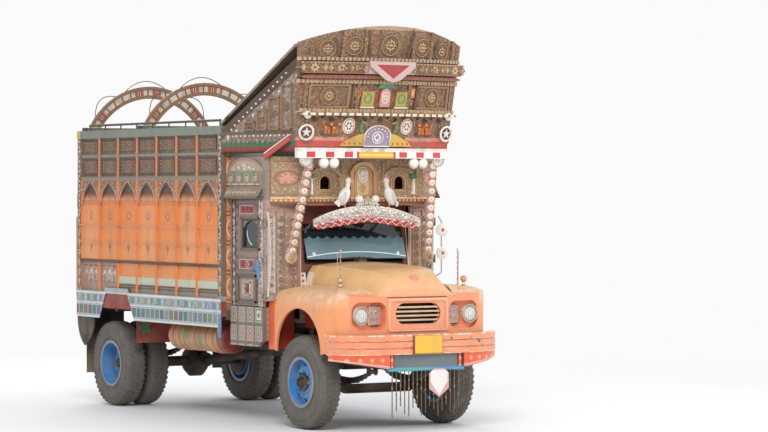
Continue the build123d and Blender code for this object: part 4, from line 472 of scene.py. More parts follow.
def carved_board_paint():
    """Deeply carved shelf boards with rows of rosettes between beaded edges; the plaque is bare red."""
    p = Paint("Carved shelf")
    t = p.repeat(p.x, -1.05, 0.3)
    v = p.z - 3.912
    flower = p.rosette(t, v, 0.05, 8)
    hub = p.disc(t, v, 0.016)
    wide_t = p.repeat(p.x, -1.05, 0.06)
    leaf = p.diamond(wide_t, v, 0.026, 0.04) * (abs(t) > 0.075)
    carve = p.spots(40.0)
    p.colour = p.mix(carve.rise(0.15, 0.5), "A18062", "6C4E3A")
    p.lay((leaf, "B99873"), (flower, "D0B48C"), (hub, "8E4438"),
          (p.band(3.955, 3.98) + p.band(3.85, 3.862), "8A6A4E"))
    thin = p.z < 3.84
    dash_t = p.repeat(p.x, -1.0, 0.09)
    dash = abs(dash_t) < 0.03
    p.lay((thin, "846550"), (thin * dash, "96503F"), ((p.z < 3.44) * dash, "E8D9C0"))
    down = 3.98 - p.z
    rim = (p.side * 0.72 + down > 0.182).most(p.side > 0.245).most(down < 0.030)
    plate = (p.y < -2.288) * p.band(3.7, 3.99) * (p.side < 0.32)
    faded = p.diamond(p.x, p.z - 3.9, 0.16, 0.05)
    p.lay((plate, "9E3538"), (plate * rim, "C4A6A1"), (plate * faded * 0.25, "AE4A48"))
    relief = carve * -0.5 + flower * 0.7 + hub * 0.5 + leaf * 0.5
    return p.worn(0.55, 0.58, relief * (1 - plate), 0.012)


def crown_side_paint():
    """Grey weathered panels with white dots, a green and red foot, and a dark line under the roof."""
    p = Paint("Carved crown side")
    carve = p.spots(22.0)
    p.colour = p.mix(carve.rise(0.15, 0.55), "B2A191", "83736A")
    t = p.repeat(p.y, -0.72, 0.14)
    slope = p.z - (3.27 + (-0.70 - p.y) * 0.6)
    dots = p.disc(t, slope + 0.16, 0.014) + p.disc(t, p.z - 3.19, 0.013)
    dots = dots.clip()
    speck = p.spots(34.0) < 0.16
    p.lay((speck, "CDBFAE"), ((p.spots(27.0) < 0.12), "A4593E"), ((p.spots(31.0) < 0.1), "5D7A5C"))
    scale_t = p.repeat(p.y, -0.72, 0.08)
    fringe = p.z < (3.13 - abs(scale_t) * 0.7)
    p.lay((slope.between(-0.11, 0.1), "5A4739"), (dots, "EFE9DF"), (p.band(3.2, 3.235), "6E5B4C"),
          (fringe, "3F6E4A"), (p.z < 3.07, "8E3A34"), (p.z < 3.028, "55392E"))
    inner = p.side < (0.94 + (p.y + 1.88) * 0.2)
    p.lay((inner * (p.z > 3.03), "6B5444"))
    relief = carve * -0.6 + dots * 0.8 + p.noise(40.0, 4.0) * 0.3
    return p.worn(0.7, 0.7, relief, 0.010)


def roof_paint():
    """Grey weathered roof boards with a dark brown underside."""
    p = Paint("Weathered roof")
    grain = p.noise(20.0, 5.0, (5.0, 0.6, 0.6))
    t = p.repeat(p.x, -1.2, 0.2)
    seam = abs(t) > 0.096
    p.colour = p.layers(p.mix(grain.rise(0.35, 0.7), "9A9186", "776A5C"), (seam, "4B4036"),
            (p.nz < 0.0, "4A3628"))
    return p.worn(0.6, 0.8, grain - seam * 0.6, 0.005)


def forehead_paint():
    """Tan carved panel: niche with a pale medallion, window rims, vases with leaves, beaded ledge."""
    p = Paint("Carved forehead")
    middle_z = 2.72
    jug_x = 0.66
    side_y = -1.63
    carve = p.spots(30.0)
    tint = p.noise(7.0, 3.0)
    p.colour = p.mix(carve.rise(0.2, 0.5), "C5A682", "9C7E60")
    p.lay((tint.rise(0.52, 0.66) * 0.4, "A8705C"), ((1 - tint.rise(0.34, 0.46)) * 0.4, "8C8A62"))
    v = p.z - middle_z
    medal = p.ring(p.x, v - 0.06, 0.05, 0.066) + p.rosette(p.x, v - 0.06, 0.04, 8)
    scroll = p.rosette(p.x, v + 0.1, 0.05, 6)
    niche = (p.side < 0.17) * p.band(2.5, 2.9)
    p.lay((niche, "BC8458"))
    p.within(niche, (p.side < 0.118, "C9A878"), (medal.clip(), "E9DFC9"), (scroll, "B9824E"))
    window_u = p.side - 0.48
    frame_w = p.ring(window_u, p.z - 2.68, 0.066, 0.09) * (p.z > 2.66)
    sides_w = abs(window_u).between(0.066, 0.088) * p.band(2.56, 2.68)
    p.lay((frame_w.most(sides_w), "B07A4A"))
    jug = p.panel(p.side - jug_x, p.z - 2.63, 0.012, 0.07) + p.disc(p.side - jug_x, p.z - 2.56, 0.022)
    leaves = p.rosette(p.side - jug_x, p.z - 2.75, 0.045, 5)
    p.lay((jug.clip(), "EDE6DA"), (leaves, "4D8A52"))
    ledge = p.z < 2.5
    bead_t = p.repeat(p.x, 0.0, 0.045)
    bead = p.disc(bead_t, p.z - 2.477, 0.012)
    p.lay((ledge, "B57A48"), (p.z < 2.462, "8A4A34"), (ledge * bead, "E5C08A"),
          (p.band(2.495, 2.51), "E7C796"))
    returns = p.side > 0.80
    p.lay((returns * p.frame_line(p.y - side_y, p.z - middle_z, 0.115, 0.19, 0.012), "8F5A48"))
    oval = p.rosette(p.y - side_y, p.z - middle_z, 0.06, 7)
    p.lay((returns * oval, "D58F86"), (returns * p.ring(p.y - side_y, p.z - middle_z, 0.07, 0.085),
            "9B5E4C"))
    back = p.ny > 0.6
    p.lay((back, "5E4434"))
    relief = carve * -0.4 + medal * 0.6 + scroll * 0.5 + bead * 0.5 + leaves * 0.5 + jug * 0.5
    return p.worn(0.45, 0.5, relief, 0.008)


def visor_paint():
    """Silver sheet embossed with scrolls; red and white teeth along the lower edge."""
    p = Paint("Embossed sheet")
    carve = p.spots(36.0)
    edge = p.z - (2.245 - p.side * p.side * 0.17)
    t = p.repeat(p.x, 0.0, 0.11)
    teeth = edge < (0.045 - abs(t) * 0.6)
    flower_t = p.repeat(p.x, 0.0, 0.23)
    flower = p.rosette(flower_t, edge - 0.095, 0.04, 8)
    p.colour = p.layers("D3CBC4", (carve < 0.22, "A89C96"), (flower, "E8E2DC"),
            (p.disc(flower_t, edge - 0.095, 0.014), "B9756C"), (edge.between(0.048, 0.06), "B78F88"),
            (teeth, "C0433F"))
    relief = carve * -0.8 + flower * 0.7
    return p.worn(0.3, 0.32, relief, 0.010, metal=0.55)


def rail_paint():
    """White rail with red spots and an orange-yellow bar in the middle; the lamps under it are white."""
    p = Paint("Painted rail")
    rail = p.z > rail_low
    spot_t = p.repeat(p.side, 0.235, 0.23)
    spot = rail * p.panel(spot_t, p.z - 2.978, 0.052, 0.030) * p.side.between(0.25, 0.9)
    centre = rail * (p.side < 0.22)
    p.colour = p.layers("EDE8DF", (spot, "C8383C"), (centre, "E9A23C"),
            (centre * (abs(p.z - 2.975) < 0.012), "F6D36B"),
            (rail * p.side.between(0.22, 0.25), "C8383C"))
    relief = p.noise(50.0, 3.0) * 0.3 + spot * 0.4
    return p.worn(0.35, 0.35, relief, 0.003, 0.3)


def canopy_paint():
    """Grey-brown lunette with white scrolls over a row of medallions and a sloping cornice."""
    p = Paint("Carved canopy")
    u = p.y - canopy_middle
    lunette = p.z > 2.795
    scroll = p.rosette(u, p.z - 2.85, 0.05, 6) + p.rosette(abs(u) - 0.13, p.z - 2.83, 0.032, 5)
    rim = p.length(u * 0.42, p.z - 2.79) > 0.118
    t, number = p.numbered(p.y, canopy_middle - 0.36, 0.18)
    medal = p.ring(t, p.z - canopy_row_z, 0.042, 0.055) + p.rosette(t, p.z - canopy_row_z, 0.036, 6)
    row = p.band(2.65, 2.795)
    green = row * (number.between(0.5, 1.5))
    carve = p.spots(40.0)
    p.colour = p.mix(carve.rise(0.2, 0.5), "A49684", "85776A")
    p.lay((lunette, "B5A28E"), (lunette * scroll.clip(), "E4DCCB"), (lunette * rim, "C7A08C"),
          (green, "7C9A82"), (row * medal.clip(), "D2C8B4"), (p.band(2.782, 2.797), "6A9A74"),
          (p.band(2.5, 2.52), "6E5A4A"))
    relief = carve * -0.4 + (scroll + medal * row) * 0.7
    return p.worn(0.5, 0.55, relief, 0.008)


# Cab and front end

def cab_paint():
    """Cab shell: pink-grey carved sides and corners, tan scuttle, tiles below the door, dark red inside."""
    p = Paint("Cab paint")
    carve = p.spots(38.0)
    p.colour = p.mix(carve.rise(0.15, 0.5), "B7A79C", "93837A")
    scuttle = (p.side < 0.637) * (p.z < 1.9) * (p.y < -1.54)
    lug = (p.z > 1.7965) * (p.side < 0.08) * (p.y < -1.6)
    p.lay((scuttle, "DFAE78"), (scuttle * lug, steel_grey))
    corner = p.side.between(0.64, 1.09) * (p.y < -1.38) * (p.z > 1.45)
    band_v = p.repeat(p.z, 1.5, 0.085)
    white_band = corner * p.side.between(0.99, 1.075)
    grey_band = corner * p.side.between(0.875, 0.99)
    tan_band = corner * (p.side < 0.875)
    flower = p.rosette(p.side - 1.032, band_v, 0.036, 6)
    leaf = p.diamond(p.side - 0.932, band_v, 0.042, 0.036)
    curl = p.ring(p.side - 0.79, band_v, 0.018, 0.032)
    p.lay((white_band, "CDBFB3"), (white_band * flower, "A06A60"),
          (white_band * p.disc(p.side - 1.032, band_v, 0.011), "5E8268"), (grey_band, "9A887B"),
          (grey_band * leaf, "BBAA9A"), (tan_band, "A58069"), (tan_band * curl, "C9AE98"),
          (corner * (p.z > 2.3), "B79384"))
    flower = (flower * white_band + leaf * grey_band + curl * tan_band).clip()
    post = p.side.between(0.60, 0.713) * (p.z > 1.5) * (p.z < 2.3) * (p.y < -1.38)
    post_v = p.repeat(p.z, 1.5, 0.06)
    p.lay((post, "E9DDD0"), (post * p.disc(p.side - 0.676, post_v, 0.017), "B9504C"))
    below = (p.z < 1.315) * (p.side > 1.05)
    tile_u, n4 = p.numbered(p.y, -1.42, 0.19)
    tile_v, n5 = p.numbered(p.z, 0.905, 0.205)
    tile = p.panel(tile_u, tile_v, 0.076, 0.083)
    ring_t = p.frame_line(tile_u, tile_v, 0.076, 0.083, 0.012)
    green = (n4 < 0.5) * (n5 > 0.5)
    red = n4.between(0.5, 1.5) * (n5 < 0.5)
    tile_code = p.layers("93867A", (green, "5F9A76"), (red, "B7715C"))
    plain_tile = p.rosette(tile_u, tile_v, 0.052, 6) + p.ring(tile_u, tile_v, 0.06, 0.068)
    p.lay((below, "75695E"))
    p.within(below, (tile, tile_code), (ring_t, "BDB1A3"), (plain_tile.clip() * (1 - green), "B9AC9E"),
            (p.disc(tile_u, tile_v, 0.018), "8A5B50"),
            (green * p.panel(tile_u, tile_v, 0.045, 0.052), "DCD8CE"),
            (green * p.rosette(tile_u, tile_v, 0.036, 6), "7E6A60"))
    above = (p.z > 2.48) * (p.side > 1.05)
    p.lay((above, "94857A"))
    roof = p.z > 2.955
    p.lay((roof, "6F5F52"))
    inner = (p.side < 1.056) * (p.y > -1.56) * (p.z < 2.957) * (p.side < 0.70).most(p.y > -1.42)
    p.lay((inner, "6A2E28"))
    relief = (carve * -0.5 + (flower * corner + tile * below) * 0.5) * (1 - scuttle)
    return p.worn(0.6, 0.5, relief, 0.006)


def door_paint():
    """Grey-pink door: red plaques, dark window frame, vine strip behind and white beaded strip in front."""
    p = Paint("Door paint")
    carve = p.spots(46.0)
    p.colour = p.mix(carve.rise(0.15, 0.5), "AD968F", "83726A")
    u = p.y - door_middle
    plaque = p.panel(u, p.z - door_plaque_z, 0.165, 0.048)
    plaque_rim = p.frame_line(u, p.z - door_plaque_z, 0.165, 0.048, 0.012)
    lower = p.panel(u, p.z - door_lower_z, 0.17, 0.062)
    lower_rim = p.frame_line(u, p.z - door_lower_z, 0.17, 0.062, 0.012)
    box = p.frame_line(u, p.z - door_box_z, 0.21, 0.15, 0.022)
    field = p.panel(u, p.z - door_box_z, 0.13, 0.10)
    motif = p.rosette(u, p.z - door_box_z, 0.075, 6)
    window = p.frame_line(u + 0.085, p.z - 2.11, 0.192, 0.165, 0.026)
    p.lay((plaque, "A8474B"), (plaque_rim, "D0A29B"), (lower, "8F4B46"), (lower_rim, "B58A80"),
          (p.rosette(u, p.z - door_lower_z, 0.05, 6), "D8A9A0"), (box, "5A4943"), (field, "B7A396"),
          (motif, "93645A"), (window, "3F3632"))
    rear = p.y - door_rear_y
    strip_r = abs(rear) < 0.048
    vine_r = p.vine(p.z, rear, 0.17, 0.024, 0.006)
    front = p.y - door_front_y
    strip_f = abs(front) < 0.042
    bead_v = p.repeat(p.z, 1.31, 0.075)
    bead = p.ring(front, bead_v, 0.014, 0.028)
    p.lay((strip_r, "4A4340"), (strip_r * vine_r, "D6CFC2"), (strip_f, "D6CBBF"),
          (strip_f * bead, "9E625A"), (strip_f * p.disc(front, bead_v, 0.009), "3F7B63"))
    inner = p.side < 1.06
    p.lay((inner, "73302A"))
    relief = (carve * -0.5 + (vine_r * strip_r + bead * strip_f + motif) * 0.6) * (1 - plaque.most(lower))
    return p.worn(0.6, 0.48, relief, 0.006)


def bonnet_paint():
    """Tan bonnet, peach at its front edge, with a faded bare red badge place."""
    p = Paint("Bonnet paint")
    cloud = p.noise(2.6, 3.0)
    p.colour = p.mix(cloud.rise(0.35, 0.7), "E3B57D", "D9A66C")
    front = 1 - (p.y - front_axle).rise(-0.80, -0.70)
    p.lay((front * 0.8, "F0AC80"))
    badge = p.length(p.x - 0.02, (p.y - (front_axle - 0.735)) * 1.6)
    fade = p.noise(30.0, 3.0).rise(0.3, 0.75) * 0.55 + 0.3
    p.lay(((badge < 0.062) * fade, "D86A62"))
    chips = p.spots(70.0) < 0.07
    p.lay((chips * 0.5, "8C6A4C"))
    under = p.nz < -0.15
    lug = (p.z > 1.7965) * (p.side < 0.08)
    p.lay((under, "6E5238"), (lug, steel_grey))
    wear = p.noise(14.0, 4.0)
    return p.worn(0.35, wear * 0.2 + 0.28, p.noise(5.0, 2.0) * 0.5 + chips * -0.2, 0.004, 0.25)


def wing_paint():
    """Wings: tan tops with a pale edge of painted highlight and worn paint, peach-orange sides with painted
    shade on their rear part, and a deep red inside.
    """
    p = Paint("Wing paint")
    top = p.z.rise(1.30, 1.50)
    p.colour = p.mix(top, "EE9A62", "E5B583")
    # Pale patches along the top ridge: painted highlight and worn paint together; the specks in them are
    # rust chips.
    ridge = p.z.rise(1.34, 1.43) * (1 - p.z.rise(1.49, 1.54)) * (1 - (p.y - front_axle).rise(-0.1, 0.25))
    worn = ridge * p.noise(13.0, 6.0).rise(0.45, 0.70)
    p.lay((worn * 0.6, "EBDAD0"))
    speck = p.spots(60.0) < 0.09
    p.lay((speck * worn, "A8563C"))
    # Rear part of the wings' outer sides: deeper orange-red, painted shade.
    rear = (p.y > -1.56) * (p.z < 1.40) * (p.side > 0.98)
    p.lay((rear, "E2602F"))
    inner = (p.side < 0.995) * (p.z < 1.40) * (p.y > -2.50)
    hidden = inner.most((p.nz < -0.35) * (p.z < 1.5) * (p.side < 1.005))
    p.lay((hidden, "B22C25"))
    return p.worn(0.4, p.noise(14.0, 4.0) * 0.2 + 0.30, p.noise(6.0, 2.0) * 0.4, 0.003, 0.2)


def nose_paint():
    """Nose: peach front with orange recesses, a darker line round the grille frame."""
    p = Paint("Nose paint")
    p.colour = p.mix(p.noise(3.0, 3.0).rise(0.3, 0.7), "F2A078", "EC9268")
    top = p.z.rise(1.42, 1.47)
    p.lay((top, "EDB48C"))
    recess = (p.side > 0.37) * (p.y > -2.90)
    p.lay((recess, "EF9468"))
    ring = p.frame_line(p.x, p.z - 1.252, 0.378, 0.178, 0.018)
    p.lay((ring * 0.6, "F6C4A4"))
    inner = p.y > -2.86
    p.lay((inner * (p.side < 0.38), "7A3A2C"))
    chips = (p.spots(50.0) < 0.08) * (p.z < 1.16)
    p.lay((chips, "B9B4AC"))
    return p.worn(0.4, p.noise(14.0, 4.0) * 0.2 + 0.30, p.noise(6.0, 2.0) * 0.4, 0.003, 0.2)


def bumper_paint():
    """Peach bumper with pale worn upper edges on its ribs."""
    p = Paint("Bumper paint")
    edge = p.band(1.035, 1.052)
    for low, high in ((0.985, 0.992), (0.905, 0.912), (0.84, 0.848)):
        edge = edge + p.band(low, high)
    p.colour = p.mix(p.noise(4.0, 3.0).rise(0.3, 0.7), "F09C72", "E88A5E")
    wear = p.noise(16.0, 5.0) > 0.5
    p.lay((edge.clip() * wear, "F8D2BC"))
    scratch = (p.noise(20.0, 4.0, (0.4, 0.4, 4.0)) > 0.66) * 0.6
    p.lay((scratch, "D8CFC4"), (p.ny > 0.5, "8A4A34"))
    return p.worn(0.45, p.noise(14.0, 4.0) * 0.2 + 0.32, p.noise(7.0, 3.0) * 0.5, 0.004, 0.15)


def lower_skirt_paint():
    """Lower skirts: orange-red reflective field with pink edges; blue-green bar and grey-blue tray."""
    p = Paint("Lower skirt paint")
    edge = p.z - (0.705 + (p.side - 0.47) * 0.13)
    honey = (p.spots(90.0) < 0.3)
    p.colour = p.layers("E4552E", (honey, "F07A3E"), (edge < 0.014, "E9B9B4"), (edge < 0.006, "D98C8A"))
    flower_t = p.repeat(p.side, 0.5, 0.12)
    p.lay((p.rosette(flower_t, p.z - 0.785, 0.026, 6) * 0.7, "F4C08C"))
    tray = (p.side < 0.41) * (p.z > 0.7)
    p.lay((tray, "5C6B72"))
    bar = (p.z < 0.7) * (p.side < 0.485)
    wave_x = (p.x * 7).wave() * 0.5 + 0.5
    p.lay((bar, p.mix(wave_x, "4FA6A8", "4C8FC6")))
    return p.worn(0.4, 0.35, honey * 0.4 + p.noise(30.0, 3.0) * 0.3, 0.002, 0.3)


def plate_paint():
    """Bare yellow plate, red-brown along one end, and bare white shield with a pink edge."""
    p = Paint("Bare plates")
    v = p.z - 0.944
    rim = p.frame_line(p.x, v, 0.189, 0.101, 0.01)
    p.colour = p.layers("F0B93A", (rim, "C98A24"), (p.x < -0.165, "7A2F28"))
    shield = p.z < 0.72
    w = p.x - 0.155
    limit = ((0.372 - p.z) * -0.76).least(0.125)
    border = abs(w) > limit - 0.016
    p.lay((shield, "EEE6E2"), (shield * border.most(p.z > 0.664), "D6A2A2"))
    return p.worn(0.35, 0.4, p.noise(20.0, 3.0) * 0.5 + rim * 0.5, 0.002)


def guard_paint():
    """Red boards with a green leaf; the pointed flaps are dark dusty rubber."""
    p = Paint("Mud boards")
    leaf = p.rosette(p.side - 1.02, p.z - 0.96, 0.09, 5)
    board = p.y < 2.5
    p.colour = p.layers("3B3733", (board, "9A2D28"), (board * leaf, "3E8A58"))
    return p.worn(1.0, 0.75, p.noise(26.0, 4.0), 0.003)


def tank_paint():
    """Round orange tank with red-brown bands and green leaves; blue box on the other side."""
    p = Paint("Tank paint")
    t = p.repeat(p.y, -0.42, 0.266)
    band = abs(t) < 0.02
    leaf = p.rosette(p.y - 0.47, p.z - 0.93, 0.09, 5) + p.rosette(p.y - 0.12, p.z - 0.86, 0.07, 5)
    p.colour = p.layers(p.mix(p.noise(6.0, 3.0).rise(0.4, 0.6), "D9834A", "C99A66"), (band, "9A4A30"),
            (abs(t).between(0.02, 0.028), "E6C79C"), (leaf.clip(), "5E9A5C"), (p.y < -0.30, "8C2A24"))
    p.lay((p.x > 0, "3A6FB4"))
    bracket = p.side < 0.7
    p.lay((bracket, "2E2A28"))
    return p.worn(0.9, 0.45, p.noise(20.0, 4.0), 0.003)


def chassis_paint():
    """Near-black metal with broad rust and pale dust."""
    p = Paint("Chassis paint")
    rust = p.noise(7.0, 5.0).rise(0.5, 0.75)
    p.colour = p.mix(rust * 0.7, "2C2A29", "6B3F28")
    return p.worn(1.0, 0.75, p.noise(40.0, 4.0), 0.002, metal=0.2, dust="8E7C68")


def tyre_paint():
    """Dusty rubber."""
    p = Paint("Dusty tyre")
    cloud = p.noise(8.0, 5.0)
    fine = p.noise(80.0, 2.0)
    p.colour = p.mix(cloud.rise(0.2, 0.9), "524E4A", "716A61")
    p.lay((fine.rise(0.4, 0.9) * 0.45, "A0958A"))
    return p.done(p.colour, 0.85, 0.0, fine + cloud * 0.5, 0.002)


def rim_paint(name, centre_y):
    """Sky-blue rim and disc with a dark greasy hub and nuts."""
    p = Paint(name)
    radius = p.length(p.y - centre_y, p.z - tyre_r)
    hub = radius < 0.105
    nuts = radius.between(0.105, 0.145) * (p.spots(30.0) < 0.4)
    p.colour = p.layers("3F8FD0", (p.noise(9.0, 4.0).rise(0.45, 0.7) * 0.6, "6FA0C0"), (hub, "2B2725"),
            (nuts, "3B3633"), (radius > 0.262, "8C8173"))
    return p.worn(0.8, 0.5, p.noise(40.0, 3.0), 0.002, metal=0.1)


def glass_paint():
    """Windscreen: blue-green with a dark scalloped band above and a pale curved line across."""
    p = Paint("Windscreen glass")
    t = p.repeat(p.x, 0.0, 0.115)
    scallop = p.z > (2.085 - (1 - (abs(t) / 0.0575) * (abs(t) / 0.0575)) * 0.03)
    curve = p.z - (1.905 - p.side * p.side * 0.13)
    line = abs(curve) < 0.0045
    band = p.z > 2.13
    loops = p.rosette(p.side - 0.545, p.z - 1.885, 0.024, 5)
    p.colour = p.layers("8FB6C0", (scallop, "1D2A33"), (band, "191414"), (line, "E6EEF0"),
            (loops, "E6DCE0"))
    solid = (scallop + line + loops + band).clip()
    feed(p.base.inputs["Alpha"], (solid * 0.95).most(0.34))
    return p.done(p.colour, 0.06, 0.0, None, 0.0, 0.6)


def side_glass_paint():
    """Dark green door glass with one pale curved gleam."""
    p = Paint("Door glass")
    u = p.y - door_middle
    v = p.z - 2.085
    gleam = p.ring(u + 0.12, v - 0.05, 0.145, 0.163) * (v < 0.06) * (u > -0.08)
    p.colour = p.mix(gleam, "17332F", "A9D8CC")
    feed(p.base.inputs["Alpha"], gleam.most(0.72))
    return p.done(p.colour, 0.08, 0.0, None, 0.0, 0.5)


# Shapes gathered into pieces

class Heap:
    """Shapes gathered into one mesh piece."""

    def __init__(self):
        self.points = []
        self.faces = []

    def add(self, points, faces):
        start = len(self.points)
        self.points += [Vector(point) for point in points]
        self.faces += [[start + number for number in face] for face in faces]

    def skin(self, points, count, closed=False):
        """Joins rings of points, count in each, and caps the ends unless last and first ring meet."""
        rings = len(points) // count
        faces = []
        for ring in range(rings if closed else rings - 1):
            here, there = ring * count, (ring + 1) % rings * count
            for step in range(count):
                after = (step + 1) % count
                faces.append((here + step, here + after, there + after, there + step))
        if not closed:
            faces += [range(count - 1, -1, -1), range((rings - 1) * count, rings * count)]
        self.add(points, faces)

    def box(self, centre, size, turn=None):
        """Box turned about its centre."""
        corners = []
        for x in (-0.5, 0.5):
            for y in (-0.5, 0.5):
                for z in (-0.5, 0.5):
                    corner = Vector((x * size[0], y * size[1], z * size[2]))
                    corners.append(Vector(centre) + (turn @ corner if turn else corner))
        self.add(corners, ((0, 1, 3, 2), (4, 6, 7, 5), (0, 4, 5, 1), (2, 3, 7, 6), (0, 2, 6, 4),
                (1, 5, 7, 3)))

    def lathe(self, profile, base, axis, count=24):
        """Turns (height, radius) steps round an axis that starts at base."""
        axis = Vector(axis).normalized()
        side = axis.orthogonal().normalized()
        other = axis.cross(side)
        points = []
        for height, radius in profile:
            for number in range(count):
                angle = 2 * pi * number / count
                points.append(Vector(base) + axis * height + (side * cos(angle) + other * sin(angle))
                        * radius)
        self.skin(points, count)

    def tube(self, path, radius, count=8, closed=False):
        """Round bar along a path of points."""
        path = [Vector(point) for point in path]
        points = []
        side = None
        for number, point in enumerate(path):
            before = path[number - 1] if number or closed else path[0]
            after = path[(number + 1) % len(path)] if closed else path[min(number + 1, len(path) - 1)]
            axis = (after - before).normalized()
            side = axis.orthogonal() if side is None else side - axis * side.dot(axis)
            side.normalize()
            other = axis.cross(side)
            for step in range(count):
                angle = 2 * pi * step / count
                points.append(point + (side * cos(angle) + other * sin(angle)) * radius)
        self.skin(points, count, closed)

    def ball(self, centre, size, count=14, turn=None):
        """Ball squashed to three half sizes."""
        size = (size, size, size) if isinstance(size, (int, float)) else size
        points = []
        rings = count // 2 + 1
        for ring in range(rings):
            tilt = pi * (0.02 + 0.96 * ring / (rings - 1))
            for number in range(count):
                angle = 2 * pi * number / count
                point = Vector((size[0] * sin(tilt) * cos(angle), size[1] * sin(tilt) * sin(angle),
                        size[2] * cos(tilt)))
                points.append(Vector(centre) + (turn @ point if turn else point))
        self.skin(points, count)

    def plate(self, outline, normal, thick):
        """Flat sheet with the given outline, thickened both ways along its normal."""
        normal = Vector(normal).normalized() * (thick / 2)
        count = len(outline)
        points = ([Vector(point) - normal for point in outline]
                + [Vector(point) + normal for point in outline])
        faces = [tuple(reversed(range(count))), tuple(range(count, 2 * count))]
        for number in range(count):
            after = (number + 1) % count
            faces.append((number, after, count + after, count + number))
        self.add(points, faces)

    def make(self, name, material, body="truck"):
        """Turns the heap into a piece that rides on a body."""
        mesh = bpy.data.meshes.new(name)
        mesh.from_pydata([tuple(point) for point in self.points], [], self.faces)
        mesh.validate()
        mesh.update()
        heal = bmesh.new()
        heal.from_mesh(mesh)
        bmesh.ops.recalc_face_normals(heal, faces=heal.faces)
        heal.to_mesh(mesh)
        heal.free()
        piece = bpy.data.objects.new(name.lower().replace(" ", "_"), mesh)
        bpy.context.scene.collection.objects.link(piece)
        mesh.materials.append(material)
        mesh.polygons.foreach_set("use_smooth", [True] * len(mesh.polygons))
        mesh.set_sharp_from_angle(angle=radians(38))
        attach(piece, body)
        return piece


def heaps(count):
    return [Heap() for _ in range(count)]


def swing(step):
    """1 for an odd step, -1 for an even one."""
    return 1 if step % 2 else -1


def upright_ring(centre, radius, count):
    """Points of a circle that faces the front."""
    return [centre + Vector((radius * cos(turn), 0, radius * sin(turn)))
            for turn in (2 * pi * step / count for step in range(count))]


def crown_face(x, z):
    """Place along the truck of the bowed, leaning crown front."""
    share = (z - crown_foot) / 1.175
    half = 0.965 + 0.07 * share
    side_y = front_axle + 0.08 - 0.18 * share
    bow = 0.06 + 0.13 * share
    radius = (half * half + bow * bow) / (2 * bow)
    return side_y - bow + radius - sqrt(max(radius * radius - x * x, 0.0))


def crown_side_at(y):
    """Distance from the middle of the crown's side at its foot."""
    return 1.212 + (0.965 - 1.212) * (-0.6845 - y) / 1.193


# Paint on the CAD nodes

rubber = tyre_paint()
seat_cloth = plain("Seat cloth", "7A2E33", 0.8)
for material, names in (
        (wall_paint(), "side_walls"),
        (board_paint("Painted end boards", "E08A4C", "C2663E", 3.1, (-1.19, 0.34), (1.34, 0.33)),
         "end_boards"),
        (board_paint("Painted tailgate", "E9A15E", "C75B3C", 3.047, (-1.165, 0.383), (1.339, 0.445)),
         "tailgate"),
        (skirt_paint(), "body_skirts"),
        (hoop_paint(), "hoops"),
        (floor_paint(), "bed_floor"),
        (crown_paint(), "crown_front"),
        (carved_board_paint(), "crown_boards"),
        (crown_side_paint(), "crown_sides"),
        (roof_paint(), "crown_roof"),
        (forehead_paint(), "forehead"),
        (visor_paint(), "visor"),
        (rail_paint(), "crown_lamps"),
        (canopy_paint(), "door_canopies"),
        (cab_paint(), "cab_shell"),
        (door_paint(), "door_left door_right"),
        (bonnet_paint(), "bonnet"),
        (wing_paint(), "wings"),
        (nose_paint(), "nose_panel"),
        (bumper_paint(), "bumper"),
        (lower_skirt_paint(), "bumper_skirts"),
        (plate_paint(), "plates"),
        (tank_paint(), "side_tanks"),
        (chassis_paint(), "chassis_frame leaf_springs front_axle rear_axle knuckle_left knuckle_right "
                          "tie_rod prop_shaft exhaust radiator"),
        (plain("Engine castings", "3A3C3A", 0.7, 0.3, 0.9), "engine_block"),
        (rubber, "tyre_front_left tyre_front_right tyres_rear_left tyres_rear_right"),
        (rim_paint("Front rims", front_axle), "rim_front_left rim_front_right"),
        (rim_paint("Rear rims", rear_axle), "rims_rear_left rims_rear_right"),
        (glass_paint(), "windscreen"),
        (side_glass_paint(), "door_glass_left door_glass_right"),
        (plain("Pale slats", "E9C3A4", 0.35, 0.1, 0.35), "grille"),
        (plain("Lamp glass", "EDE9E0", 0.12, 0.0, 0.15, 0.6), "headlamps"),
        (plain("Wing lamp stalks", "C9B8A8", 0.4, 0.4, 0.4), "wing_lamps"),
        (plain("Disc strips", "DCC5B4", 0.4, 0.1, 0.35), "garlands"),
        (plain("Chains", "5B5148", 0.45, 0.7, 0.5), "front_fringe"),
        (guard_paint(), "rear_guards"),
        (plain("Dashboard", "4A2B24", 0.5, 0.0, 0.4), "dashboard"),
        (plain("Steering wheel", "1B1A1A", 0.35, 0.0, 0.3), "steering_wheel"),
        (seat_cloth, "seat")):
    for name in names.split():
        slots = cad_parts[name].data.materials
        slots.clear()
        slots.append(material)


# Floor, backdrop, light and camera

def lay_stage():
    """White floor that fades into the backdrop away from the truck."""
    paint = Paint("Studio floor")
    material = paint.done("F4F4F3", 0.9)
    glow = paint.node("ShaderNodeEmission", None, {0: full_white, 1: backdrop})
    away = paint.length(paint.x, paint.y + 0.5).rise(5.0, 13.0)
    shaders = {0: away, 1: paint.base.outputs[0], 2: glow.outputs[0]}
    feed(paint.out.inputs["Surface"], paint.node("ShaderNodeMixShader", None, shaders).outputs[0])
    mesh = bpy.data.meshes.new("Studio floor")
    size = 90.0
    mesh.from_pydata([(-size, -size, 0), (size, -size, 0), (size, size, 0), (-size, size, 0)], [],
            [(0, 1, 2, 3)])
    floor = bpy.data.objects.new("Studio floor", mesh)
    bpy.context.scene.collection.objects.link(floor)
    mesh.materials.append(material)


